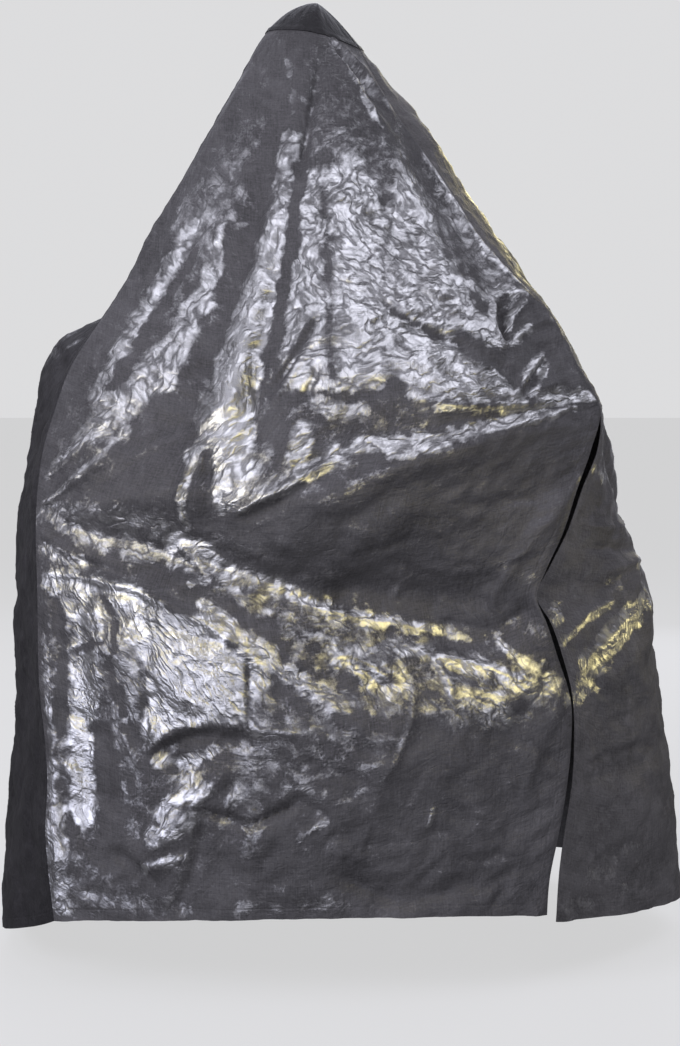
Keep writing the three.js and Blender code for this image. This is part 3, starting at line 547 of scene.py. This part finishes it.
def fold_height(rows, a, z):
    """Height of the folds above the sheet at across a and height z: for each fold a smooth hump across its
    bowed line, wider from one end to the other and faded out past both ends."""
    total = np.zeros_like(a)
    for a0, z0, a1, z1, bow, w0, w1, high in rows:
        da, dz = a1 - a0, z1 - z0
        length = np.hypot(da, dz)
        t = ((a - a0) * da + (z - z0) * dz) / length**2
        off = ((a - a0) * dz - (z - z0) * da) / length - bow * 4 * t * (1 - t)
        width = w0 + (w1 - w0) * np.clip(t, 0, 1)
        ends = smooth((t + END_REACH) / END_FADE) * smooth((1 + END_REACH - t) / END_FADE)
        total += high * np.exp(-((off / width) ** 2)) * ends
    return total


def hashed(ix, iy, seed):
    """Value from 0 to 1 for each lattice cell, from whole-number mixing."""
    place = ix.astype(np.int64) * SCATTER_X + iy.astype(np.int64) * SCATTER_Y + seed * SCATTER_SEED
    h = place.astype(np.uint64) & LOW_BITS
    h = ((h ^ (h >> np.uint64(13))) * MIX_FIRST) & LOW_BITS
    h = ((h ^ (h >> np.uint64(16))) * MIX_SECOND) & LOW_BITS
    return (h ^ (h >> np.uint64(15))).astype(float) / 2.0**32


def waves(x, y, seed):
    """Smooth noise from about -1 to 1: slopes at the lattice corners, blended by a fifth-power step."""
    ix, iy = np.floor(x), np.floor(y)
    fx, fy = x - ix, y - iy
    bx, by = (f**3 * (f * (6 * f - 15) + 10) for f in (fx, fy))
    corner = []
    for dy in (0, 1):
        for dx in (0, 1):
            turn = 2 * np.pi * hashed(ix + dx, iy + dy, seed)
            corner.append(np.cos(turn) * (fx - dx) + np.sin(turn) * (fy - dy))
    low = corner[0] + (corner[1] - corner[0]) * bx
    high = corner[2] + (corner[3] - corner[2]) * bx
    return 1.5 * (low + (high - low) * by)


def facets(x, y, seed):
    """Flat-sided crumples, from 0 on a crease to about 1 inside a facet: how much further the second
    nearest of the scattered points is than the nearest."""
    ix, iy = np.floor(x), np.floor(y)
    near = np.full(x.shape, 9.0)
    second = np.full(x.shape, 9.0)
    for dx in (-1, 0, 1):
        for dy in (-1, 0, 1):
            px = ix + dx + hashed(ix + dx, iy + dy, seed)
            py = iy + dy + hashed(ix + dx, iy + dy, seed + 1)
            d = np.hypot(x - px, y - py)
            second = np.where(d < near, near, np.minimum(second, d))
            near = np.minimum(near, d)
    return second - near


def creased(x, y, seed):
    """Noise folded up at zero, so that it has a sharp crease wherever the smooth noise changes sign."""
    return np.abs(waves(x, y, seed))


def crumples(s, t, gloss, seed):
    """Height of the crumpled cloth at flat coordinates s and t: slow swells, then sharp valleys, ridges
    and small creases at moved coordinates, and facets where the film is glossy. Each noise takes the
    coordinates over the length of its waves, and is multiplied by its height."""
    x = s + 18 * waves(s / 80, t / 70, seed) + 6 * waves(s / 27, t / 24, seed + 1)
    y = t + 18 * waves(s / 76, t / 82, seed + 2) + 6 * waves(s / 25, t / 28, seed + 3)
    slow = 3.0 * waves(s / 170, t / 140, seed + 4) + 1.5 * waves(s / 66, t / 54, seed + 5)
    share = 0.6 + 0.8 * waves(s / 230, t / 190, seed + 14)
    valleys = 9.0 * creased(x / 130, y / 96, seed + 6) * share
    ridges = -4.6 * creased(x / 66, y / 47, seed + 8) * (1.3 - share)
    small = 2.0 * creased(x / 33, y / 25, seed + 10) - 1.1 * creased(x / 19, y / 15, seed + 12)
    film = 2.0 * facets(x / 37, y / 28, seed + 16) - 2.6 * creased(x / 24, y / 18, seed + 18) + 0.5
    return slow + (valleys + ridges) * (1.35 - 0.35 * gloss) + small * (0.9 + 0.1 * gloss) + film * gloss


def gloss_of(panel, a, z, seed, plain):
    """How glossy and crinkled the film is at across a and height z: plain, then in turn each patch's level
    within about its half width of its bowed line, with a scalloped edge. A patch takes no gloss away,
    unless its level is low."""
    ragged = 13 * waves(a / 38, z / 38, seed + 30) + 7 * waves(a / 15, z / 15, seed + 31)
    gloss = np.full(a.shape, plain)
    for a0, z0, a1, z1, bow, w0, w1, level in PATCHES[panel]:
        da, dz = a1 - a0, z1 - z0
        length = np.hypot(da, dz)
        t = np.clip(((a - a0) * da + (z - z0) * dz) / length**2, 0, 1)
        off_a = a - (a0 + da * t + bow * 4 * t * (1 - t) * dz / length)
        off_z = z - (z0 + dz * t - bow * 4 * t * (1 - t) * da / length)
        reach = w0 + (w1 - w0) * t
        rough = np.clip(ragged, -0.5 * reach, 0.6 * reach)
        fade = 10 + 0.8 * reach if DULL_LEVEL < level < FULL_LEVEL else 3 + 0.5 * reach
        inside = smooth((reach + rough - np.hypot(off_a, off_z)) / fade + 0.5)
        gloss = gloss + (level - gloss) * inside * (level > gloss if level > DULL_LEVEL else 1)
    return gloss


def lay_of(panel, a, z):
    """Shares of three crease directions, 60 degrees apart, that blend to the direction the cloth is pulled
    in: the mean of the table's directions, doubled, weighted by closeness."""
    east, north = np.zeros_like(a), np.zeros_like(a)
    for a0, z0, turn in LAYS[panel]:
        near = 1 / ((a - a0) ** 2 + (z - z0) ** 2 + LAY_REACH**2) ** 1.5
        east += near * np.cos(np.radians(2 * turn))
        north += near * np.sin(np.radians(2 * turn))
    size = np.hypot(east, north) + 1e-12
    shares = [
        np.maximum(0, (east * np.cos(k) + north * np.sin(k)) / size + 0.25)
        for k in np.radians((0, 120, 240))
    ]
    return np.stack(shares, -1) / np.linalg.norm(shares, axis=0)[..., None]


def panel_grid(panel):
    """Across share and height of each grid point, and how far down each row is, as 1 at the slit's top and
    2 at the hem, the same on every panel so that the seams match. Cells are narrow along both edges."""
    cells = GRIDS[panel][0]
    u = np.concatenate([EDGE_LINES, np.arange(2, cells - 1), cells - EDGE_LINES[::-1]]) / cells
    top, low = STRETCHES[0][0], STRETCHES[-1][0]
    starts = zip(STRETCHES, STRETCHES[1:])
    stretches = [np.linspace(z, below, n, endpoint=False) for (z, n), (below, _) in starts]
    nominal = np.concatenate([*stretches, [low]])
    above = (nominal - top) / (SLIT_TOP - top)
    beneath = 1 + (nominal - SLIT_TOP) / (low - SLIT_TOP)
    share = np.where(nominal >= SLIT_TOP, above, beneath)[:, None]
    seam, hem = (along(heights, u)[None] for heights in EDGES[panel])
    z = np.where(share < 1, seam + (SLIT_TOP - seam) * share, SLIT_TOP + (hem - SLIT_TOP) * (share - 1))
    return np.broadcast_to(u, z.shape), z, share


def flat_coordinates(p):
    """Distances along a panel's cloth: across from its middle, down from its top row, in from an edge."""
    across = np.cumsum(np.linalg.norm(np.diff(p, axis=1, prepend=p[:, :1]), axis=-1), axis=1)
    down = np.cumsum(np.linalg.norm(np.diff(p, axis=0, prepend=p[:1]), axis=-1), axis=0)
    middle = across[:, -1:] / 2
    return across - middle, down, np.minimum(across, 2 * middle - across)


def drape(panel):
    """Outer points of a panel, which are the smooth sheet moved along its normal by the folds, the creases,
    the crumples and the puckers, with the values that the film needs and how far down each row is."""
    _, nominal, seed, plain = GRIDS[panel]
    u, z, share = panel_grid(panel)
    p = smooth_sheet(panel, u, z)
    s, t, edge = flat_coordinates(p)
    a = p[..., 0] if panel in ("front", "back") else p[..., 1]
    gloss = gloss_of(panel, a, z, seed, plain)
    fold = fold_height(FOLDS[panel], a, z) * smooth(np.minimum(u, 1 - u) * nominal / FOLD_FADE)
    crease = fold_height(CREASES.get(panel, []), a, z) * smooth(edge / CREASE_FADE)
    crumple_share = smooth(edge / CRUMPLE_FADE) * smooth((t + 10) / TOP_FADE)
    crumple = crumples(s, t, np.minimum(gloss, 1), seed) * crumple_share
    pucker_share = smooth(edge / PUCKER_RISE) * smooth((PUCKER_END - edge) / PUCKER_FADE)
    pucker = PUCKER * pucker_share * (1 + waves(t / PUCKER_LENGTH, s * 0, seed + 20))
    beside_slit = {"front": u, "right": 1 - u}.get(panel, np.ones_like(u)) < 0.5
    from_hem = t[-1:] - t
    return {
        "points": p + facing(p) * (fold + crease + crumple + pucker)[..., None],
        "flat": np.stack([s, t], -1),
        "gloss": gloss,
        "from_hem": np.where(beside_slit & (share > 1), np.minimum(edge, from_hem), from_hem),
        "lay": lay_of(panel, a, z),
        "share": share[:, 0],
    }


def share_directions(*directions):
    """Gives sheets that meet one direction: their mean, lengthened so that the thickness stays."""
    mean = sum(directions)
    mean = mean / np.linalg.norm(mean, axis=-1, keepdims=True)
    stretch = (mean * directions[0]).sum(-1, keepdims=True)
    for d in directions:
        d[...] = mean / stretch


def put_mesh(name, corners, faces, flat, attributes):
    """A smooth-shaded mesh from corners in mm and a list of faces, with its flat coordinates in metres as
    a UV map, and a value or vector per corner for each attribute."""
    mesh = bpy.data.meshes.new(name)
    mesh.from_pydata(corners * MM, [], faces)
    mesh.polygons.foreach_set("use_smooth", np.ones(len(mesh.polygons), bool))
    corner_of = np.empty(len(mesh.loops), int)
    mesh.loops.foreach_get("vertex_index", corner_of)
    layer = mesh.uv_layers.new(name="flat_cloth")
    layer.data.foreach_set("uv", (flat[corner_of] * MM).astype(np.float32).ravel())
    for key, values in attributes.items():
        kind, field = ("FLOAT", "value") if values.ndim == 1 else ("FLOAT_VECTOR", "vector")
        mesh.attributes.new(key, kind, "POINT").data.foreach_set(field, values.astype(np.float32).ravel())
    mesh.set_sharp_from_angle(angle=SHARP_ANGLE)
    mesh.validate()
    return put_object(name, mesh)


def put_object(name, data):
    """Places a mesh, light or camera in the scene as an object at the origin."""
    obj = bpy.data.objects.new(name, data)
    bpy.context.scene.collection.objects.link(obj)
    return obj


def cells_between(line, beside, back, beside_back):
    """Four-cornered faces between two lines of corners and the two lines next to them."""
    return np.stack([line, beside, beside_back, back], -1).reshape(-1, 4).tolist()


def sheet_faces(rows, across):
    """Faces of a thin closed sheet: a grid of outer cells, the inner cells turned round, and four walls."""
    outer = np.arange(rows * across).reshape(rows, across)
    inner = outer + outer.size
    faces = cells_between(outer[:-1, :-1], outer[:-1, 1:], outer[1:, :-1], outer[1:, 1:])
    faces += cells_between(inner[:-1, :-1], inner[1:, :-1], inner[:-1, 1:], inner[1:, 1:])
    for turns in range(4):
        line, back = np.rot90(outer, turns)[0], np.rot90(inner, turns)[0]
        faces += cells_between(line[:-1], back[:-1], line[1:], back[1:])
    return faces


def sew_panel(panel, cloth, directions):
    """Closed mesh of a panel: the draped points, and the same points moved back by the thickness."""
    outer = cloth["points"]
    corners = np.concatenate([outer.reshape(-1, 3), (outer - directions * THICKNESS).reshape(-1, 3)])
    flat, gloss, from_hem, lay = (
        np.concatenate([cloth[key].reshape(-1, *cloth[key].shape[2:])] * 2)
        for key in ("flat", "gloss", "from_hem", "lay")
    )
    attributes = {"gloss": gloss, "from_hem": from_hem, "lay": lay}
    return put_mesh(f"{panel}_panel_cloth", corners, sheet_faces(*outer.shape[:2]), flat, attributes)


def cap_rings(cloths, directions):
    """Outer points of the cap: a lap over the panels' tops, then rings up to the peak. A ring point is the
    rim point drawn towards the peak in plan, and its drop below the peak shrinks by a power, steeper on
    the left. Two noises gather the cloth, and a soft ridge runs down the front."""
    rings = 26
    rim = np.concatenate([cloths[p]["points"][0, :-1] for p in PANELS])
    out = np.concatenate([directions[p][0, :-1] for p in PANELS])
    down = np.concatenate([cloths[p]["points"][3, :-1] for p in PANELS]) - rim
    down /= np.linalg.norm(down, axis=-1, keepdims=True)
    r = (1 - np.arange(rings) / rings)[:, None]
    offset = rim - PEAK
    steepness = 1.6 - 0.35 * offset[:, 0] / np.hypot(offset[:, 0], offset[:, 1])
    body = PEAK + np.stack([offset[:, 0] * r, offset[:, 1] * r, offset[:, 2] * r**steepness], -1)
    turn = np.arctan2(offset[:, 1], offset[:, 0])[None, :]
    gathers = 1.6 * waves(turn * 2.1 + 9, r * 1.4, 71) + 0.9 * waves(turn * 6 + 3, r * 2.4, 72)
    ridge = 2.6 * np.exp(-(((turn + 1.47) / 0.13) ** 2)) * smooth(r * 3)
    body[..., 2] += gathers * r**0.5 * smooth((1 - r) * 5) + ridge
    body[0] += out * 1.5
    lap = np.stack([rim + out * 1.4 + down * 9, rim + out * 1.5 + down * 4.5])
    return np.concatenate([lap, body])


def sew_cap(cloths, directions):
    """Closed mesh of the cap: its rings and the same rings moved in by the thickness, each with a fan of
    triangles up to its own tip, and a narrow wall round the rim."""
    rings = cap_rings(cloths, directions)
    n = np.cross(np.roll(rings, -1, 1) - np.roll(rings, 1, 1), -np.gradient(rings, axis=0))
    n /= np.linalg.norm(n, axis=-1, keepdims=True)
    outer = np.arange(rings[..., 0].size).reshape(rings.shape[:2])
    inner = outer + outer.size
    beside, beside_inner = np.roll(outer, -1, 1), np.roll(inner, -1, 1)
    tip = np.full(rings.shape[1], 2 * outer.size)
    faces = cells_between(outer[1:], beside[1:], outer[:-1], beside[:-1])
    faces += cells_between(inner[1:], inner[:-1], beside_inner[1:], beside_inner[:-1])
    faces += cells_between(outer[0], beside[0], inner[0], beside_inner[0])
    faces += np.stack([outer[-1], tip, beside[-1]], -1).tolist()
    faces += np.stack([inner[-1], beside_inner[-1], tip + 1], -1).tolist()
    tips = np.stack([PEAK, PEAK - [0, 0, THICKNESS]])
    corners = np.concatenate([rings.reshape(-1, 3), (rings - n * THICKNESS).reshape(-1, 3), tips])
    gloss, from_hem = (np.full(len(corners), value) for value in (CAP_GLOSS, FAR_FROM_HEM))
    attributes = {"gloss": gloss, "from_hem": from_hem, "lay": np.full(corners.shape, EVEN_SHARE)}
    return put_mesh("top_cap_cloth", corners, faces, corners[:, :2], attributes)


class Nodes:
    """Short ways to add and join the nodes of one material."""

    def __init__(self, name):
        self.material = bpy.data.materials.new(name)
        self.material.use_nodes = True
        self.tree = self.material.node_tree
        self.shader = self.tree.nodes["Principled BSDF"]

    def add(self, kind, sockets=(), **settings):
        """A node with its settings, and a number or another node's output fed to each socket named."""
        node = self.tree.nodes.new(kind)
        for key, value in settings.items():
            setattr(node, key, value)
        for socket, source in dict(sockets).items():
            self.feed(node.inputs[socket], source)
        return node

    def feed(self, socket, source):
        if isinstance(source, (int, float, tuple)):
            socket.default_value = source
        else:
            self.tree.links.new(source, socket)

    def finish_with(self, **sources):
        """Feeds the shader's sockets, each named by its own words with low lines for spaces."""
        for key, source in sources.items():
            self.feed(self.shader.inputs[key.replace("_", " ")], source)
        return self.material

    def attribute(self, name, socket):
        return self.add("ShaderNodeAttribute", attribute_name=name).outputs[socket]

    def math(self, operation, *values):
        return self.add("ShaderNodeMath", enumerate(values), operation=operation).outputs[0]

    def scaled(self, value, times, plus):
        return self.math("MULTIPLY_ADD", value, times, plus)

    def away(self, value, centre):
        """How far a value is from a centre, either way."""
        return self.math("ABSOLUTE", self.math("SUBTRACT", value, centre))

    def noise(self, vector, scale, detail=2.0, roughness=0.5, output="Fac"):
        sockets = {"Vector": vector, "Scale": scale, "Detail": detail, "Roughness": roughness}
        return self.add("ShaderNodeTexNoise", sockets).outputs[output]

    def ramp(self, value, low, high, to_low=0.0, to_high=1.0, kind="SMOOTHSTEP"):
        """A value carried from one range to another, and held at its ends."""
        sockets = {"Value": value, "From Min": low, "From Max": high, "To Min": to_low, "To Max": to_high}
        return self.add("ShaderNodeMapRange", sockets, interpolation_type=kind).outputs["Result"]

    def vector_math(self, operation, vector, other):
        return self.add("ShaderNodeVectorMath", {0: vector, 1: other}, operation=operation).outputs[0]

    def wander(self, vector, scale, reach):
        """The coordinates moved about by up to half of reach, for lines that aren't straight."""
        colour = self.noise(vector, scale, 1.0, output="Color")
        centred = self.vector_math("SUBTRACT", colour, (0.5, 0.5, 0.5))
        return self.vector_math("ADD", vector, self.vector_math("MULTIPLY", centred, (reach, reach, reach)))


def film_creases(n, moved):
    """Lines along the directions the cloth is pulled in, as 0 on a line and more away from it: three
    noises, each drawn out along one direction, added up by the cloth's shares of the directions."""
    lay = n.add("ShaderNodeSeparateXYZ", {0: n.attribute("lay", "Vector")})
    shares = []
    for k, turn in enumerate(np.radians((0, 60, 120))):
        sockets = {"Vector": moved, "Rotation": (0, 0, turn), "Scale": (1.0, 1 / 2.3, 1.0)}
        turned = n.add("ShaderNodeMapping", sockets, vector_type="TEXTURE").outputs["Vector"]
        centred = n.math("SUBTRACT", n.noise(turned, 15.0 + k, 2.5, 0.55), 0.5)
        shares.append(n.math("MULTIPLY", centred, lay.outputs[k]))
    return n.math("ABSOLUTE", n.math("ADD", n.math("ADD", shares[0], shares[1]), shares[2]))


def film_faced_weave(name, colour, dull_sheen):
    """Woven tape cloth with a film on it: dark and half dull where it lies flat, glossy where the film is
    crinkled, which breaks up into flecks and dark crease lines; threads show faintly, and a fold line by
    the hems. Its colour is mottled at random and darkened along the creases as painted shade. Scales
    are in waves per metre."""
    n = Nodes(name)
    flat = n.add("ShaderNodeUVMap", uv_map="flat_cloth").outputs["UV"]
    gloss = n.attribute("gloss", "Fac")
    moved = n.wander(n.wander(flat, 11.0, 0.045), 46.0, 0.012)
    wide = n.ramp(film_creases(n, moved), 0.0, 0.09)
    narrow = n.ramp(n.away(n.noise(moved, 44.0, 1.5), 0.5), 0.0, 0.1)
    crease = n.away(n.noise(moved, 17.0, 5.0, 0.65), 0.5)
    patchy = n.noise(moved, 34.0, 3.0, 0.6)
    fine = n.noise(flat, 210.0, 2.0, 0.6)
    cloud = n.noise(flat, 7.0, 3.0)
    tapes = [n.vector_math("MULTIPLY", flat, way) for way in ((420.0, 26.0, 1.0), (26.0, 420.0, 1.0))]
    weave = n.math("ADD", *(n.noise(tape, 1.0, 1.0) for tape in tapes))

    flecks = n.scaled(fine, 0.6, n.scaled(patchy, 1.5, -0.72))
    filmed = n.ramp(n.scaled(gloss, 1.25, flecks), 0.8, 1.65, 0.004, 1.0, "LINEAR")
    lines = n.math("MULTIPLY", n.scaled(wide, 0.8, 0.2), n.scaled(narrow, 0.4, 0.6))
    shine = n.math("MULTIPLY", filmed, n.math("MAXIMUM", lines, n.math("SUBTRACT", gloss, 0.85)))

    crinkle = n.scaled(wide, 0.75, n.scaled(narrow, 0.25, n.math("MULTIPLY", fine, 0.2)))
    crinkle = n.math("MULTIPLY", crinkle, n.scaled(n.math("MINIMUM", gloss, 1.0), 0.7, 0.3))
    stitched = n.ramp(n.away(n.attribute("from_hem", "Fac"), HEM_FOLD), 0.5, 3.0, -0.35, 0.0)
    height = n.scaled(weave, 0.3, n.math("ADD", n.scaled(crease, 4.0, crinkle), stitched))
    bump = n.add("ShaderNodeBump", {"Height": height, "Distance": MM, "Strength": 1.0}).outputs["Normal"]

    # Base colour: random mottle and faint threads, plus painted shade that darkens the colour along the
    # creases
    mottle_and_painted_crease_shade = n.scaled(cloud, 0.7, n.scaled(weave, 0.4, -0.95))
    mottle_and_painted_crease_shade = n.math("ADD", crease, n.scaled(fine, 0.6, n.scaled(patchy, 0.4, mottle_and_painted_crease_shade)))
    dark, light = ((*(c * share for c in colour), 1.0) for share in (0.45, 1.6))
    base = n.add("ShaderNodeMix", {0: mottle_and_painted_crease_shade, 6: dark, 7: light}, data_type="RGBA").outputs[2]
    return n.finish_with(
        Base_Color=base,
        Roughness=n.scaled(cloud, 0.14, 0.46),
        Normal=bump,
        IOR=1.4,
        Specular_IOR_Level=dull_sheen,
        Coat_Weight=shine,
        Coat_Normal=bump,
        Coat_Roughness=0.32,
        Coat_IOR=2.5,
    )


def put_floor(height):
    """Wide pale floor with a little light of its own, which the cloth neither mirrors nor is lit by."""
    half = 30
    corners = [(x, y, height) for x, y in ((-half, -half), (half, -half), (half, half), (-half, half))]
    mesh = bpy.data.meshes.new("pale_floor")
    mesh.from_pydata(corners, [], [(0, 1, 2, 3)])
    mesh.materials.append(Nodes("pale_floor_paint").finish_with(
        Base_Color=(0.08, 0.08, 0.08, 1),
        Roughness=0.9,
        Specular_IOR_Level=0.0,
        Emission_Color=(0.62, 0.62, 0.625, 1),
        Emission_Strength=1.0,
    ))
    floor = put_object("pale_floor", mesh)
    floor.visible_glossy = False
    floor.visible_diffuse = False
    floor.visible_shadow = False
    return floor


def pale_room():
    """World that the camera sees as a pale wall, and that lights the cloth more dimly and coolly."""
    world = bpy.data.worlds.new("pale_room")
    world.use_nodes = True
    nodes, join = world.node_tree.nodes, world.node_tree.links.new
    room = nodes["Background"]
    room.inputs["Color"].default_value = (0.93, 0.94, 1.0, 1)
    room.inputs["Strength"].default_value = 0.3
    wall = nodes.new("ShaderNodeBackground")
    wall.inputs["Color"].default_value = (0.72, 0.72, 0.73, 1)
    either = nodes.new("ShaderNodeMixShader")
    join(nodes.new("ShaderNodeLightPath").outputs["Is Camera Ray"], either.inputs[0])
    join(room.outputs[0], either.inputs[1])
    join(wall.outputs[0], either.inputs[2])
    join(either.outputs[0], nodes["World Output"].inputs["Surface"])
    return world


def softbox(name, azimuth, elevation, distance, size, brightness, colour, target):
    """A soft light at a bearing and height angle from its target, azimuth 0 in front and positive to the
    right, with power in proportion to its area."""
    a, e = np.radians(azimuth), np.radians(elevation)
    away = Vector((np.sin(a) * np.cos(e), -np.cos(a) * np.cos(e), np.sin(e)))
    light = bpy.data.lights.new(name, "AREA")
    light.shape = "RECTANGLE"
    light.size, light.size_y = size
    light.energy = brightness * size[0] * size[1] * np.pi
    light.color = colour
    obj = put_object(name, light)
    obj.location = Vector(target) + away * distance
    obj.rotation_euler = (Vector(target) - obj.location).to_track_quat("-Z", "Y").to_euler()
    obj.visible_camera = False
    return obj


# Dull cloth of each piece, all one cloth: its colour, with painted shade making the cap and the left panel
# darker and painted light making the right panel lighter, so that each looks right under these lights; and
# its sheen
CLOTH_COLOURS_WITH_PAINTED_LIGHT_AND_SHADE = {
    "top_cap": ((0.016, 0.0155, 0.016), 0.05),
    "front_panel": ((0.047, 0.045, 0.046), 0.05),
    "left_panel": ((0.019, 0.018, 0.019), 0.05),
    "back_panel": ((0.045, 0.043, 0.044), 0.08),
    "right_panel": ((0.066, 0.063, 0.063), 0.02),
}

# The floor's depth under the hem, in metres
FLOOR_GAP = 0.023

# Camera: place in metres, degrees down from level, focal length and picture height in pixels, sensor in mm
CAMERA_PLACE = (0.045, -3.2, -0.691)
CAMERA_DOWN = 5.76
FOCAL_LENGTH = 1601
PICTURE_HEIGHT = 1046
SENSOR = 36

COOL = (0.86, 0.87, 1.0)
COLD = (0.8, 0.82, 1.0)
WARM = (1.0, 0.86, 0.37)
CLOTH = (0, -0.2, -0.9)
CONE = (0, -0.2, -0.5)

# Softboxes: bearing and height angle from the target in degrees, distance, width and height in metres,
# brightness, colour, target, and what shows the light: all, only the sheen, or only the body of the cloth
SOFTBOXES = [
    ("cool_high_left", -42, 41, 2.4, 1.95, 1.4, 4.7, COOL, CONE, "all"),
    ("cool_high_middle", 6, 49, 2.4, 2.05, 1.15, 4.7, COOL, CONE, "sheen"),
    ("cool_high_right", 56, 46, 2.4, 2.05, 1.25, 4.7, COOL, CONE, "all"),
    ("cool_far_right", 104, 42, 4.2, 2.8, 2.0, 3.4, COOL, CLOTH, "all"),
    ("cool_low_left", -36, -5, 4.0, 3.6, 1.8, 8.8, COLD, CLOTH, "sheen"),
    ("cool_low_front", 2, -19, 4.0, 2.4, 1.2, 6.5, COOL, CLOTH, "sheen"),
    ("cool_back", 180, 42, 4.2, 3.6, 2.4, 5, COOL, CLOTH, "all"),
    ("cool_back_low", 166, 4, 4.2, 3.4, 1.4, 4, COOL, CLOTH, "all"),
    ("cool_left_back", -112, 38, 4.2, 2.6, 2.0, 4, COOL, CLOTH, "sheen"),
    ("plain_front", 14, -14, 4.4, 3.0, 2.0, 6.8, COOL, CLOTH, "body"),
    ("plain_left", -56, 24, 4.4, 1.4, 1.6, 32, COOL, CLOTH, "body"),
    ("warm_back_right", 158, 18, 4.5, 1.6, 1.8, 6.5, WARM, CLOTH, "sheen"),
    ("cool_near_middle", -10, 20, 0.8, 1.2, 0.42, 4.7, COOL, (-0.05, -0.35, -0.72), "sheen"),
    ("warm_near_middle", 33, 15, 0.95, 0.95, 0.42, 8.5, WARM, (0.0, -0.4, -1.2), "sheen"),
    ("warm_near_left", -30, 14, 0.9, 0.7, 0.3, 8.5, WARM, (-0.35, -0.38, -1.08), "sheen"),
    ("warm_near_right", 95, 2, 0.9, 0.5, 0.3, 10, WARM, (0.6, -0.1, -1.28), "sheen"),
]

# Cloth: where the front and right panels part below the slit's top, each keeps its own direction
cloths = {panel: drape(panel) for panel in PANELS}
directions = {panel: facing(cloths[panel]["points"]) for panel in PANELS}
slit_row = int(np.argmin(np.abs(cloths["front"]["share"] - 1)))
for before, after in zip(PANELS, PANELS[1:] + PANELS[:1]):
    sewn = slice(0, slit_row + 1 if after == "front" else None)
    share_directions(directions[before][sewn, -1], directions[after][sewn, 0])

pieces = {"top_cap": sew_cap(cloths, directions)}
for panel in PANELS:
    pieces[f"{panel}_panel"] = sew_panel(panel, cloths[panel], directions[panel])
for node, piece in pieces.items():
    piece.data.materials.append(film_faced_weave(f"{node}_film_faced_weave", *CLOTH_COLOURS_WITH_PAINTED_LIGHT_AND_SHADE[node]))
    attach(piece, "root")
    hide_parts(node)

# Room, lights and camera
floor = put_floor(round(cad_box[0][2] - FLOOR_GAP, 3))
bpy.context.scene.world = pale_room()
for name, azimuth, elevation, distance, width, height, brightness, colour, target, shown_by in SOFTBOXES:
    light = softbox(name, azimuth, elevation, distance, (width, height), brightness, colour, target)
    light.visible_diffuse = shown_by != "sheen"
    light.visible_glossy = shown_by != "body"

camera = put_object("camera", bpy.data.cameras.new("camera"))
camera.location = CAMERA_PLACE
camera.rotation_euler = (np.radians(90 - CAMERA_DOWN), 0, 0)
camera.data.sensor_width = SENSOR
camera.data.lens = SENSOR * FOCAL_LENGTH / PICTURE_HEIGHT
bpy.context.scene.camera = camera
bpy.context.scene.view_settings.view_transform = "Standard"
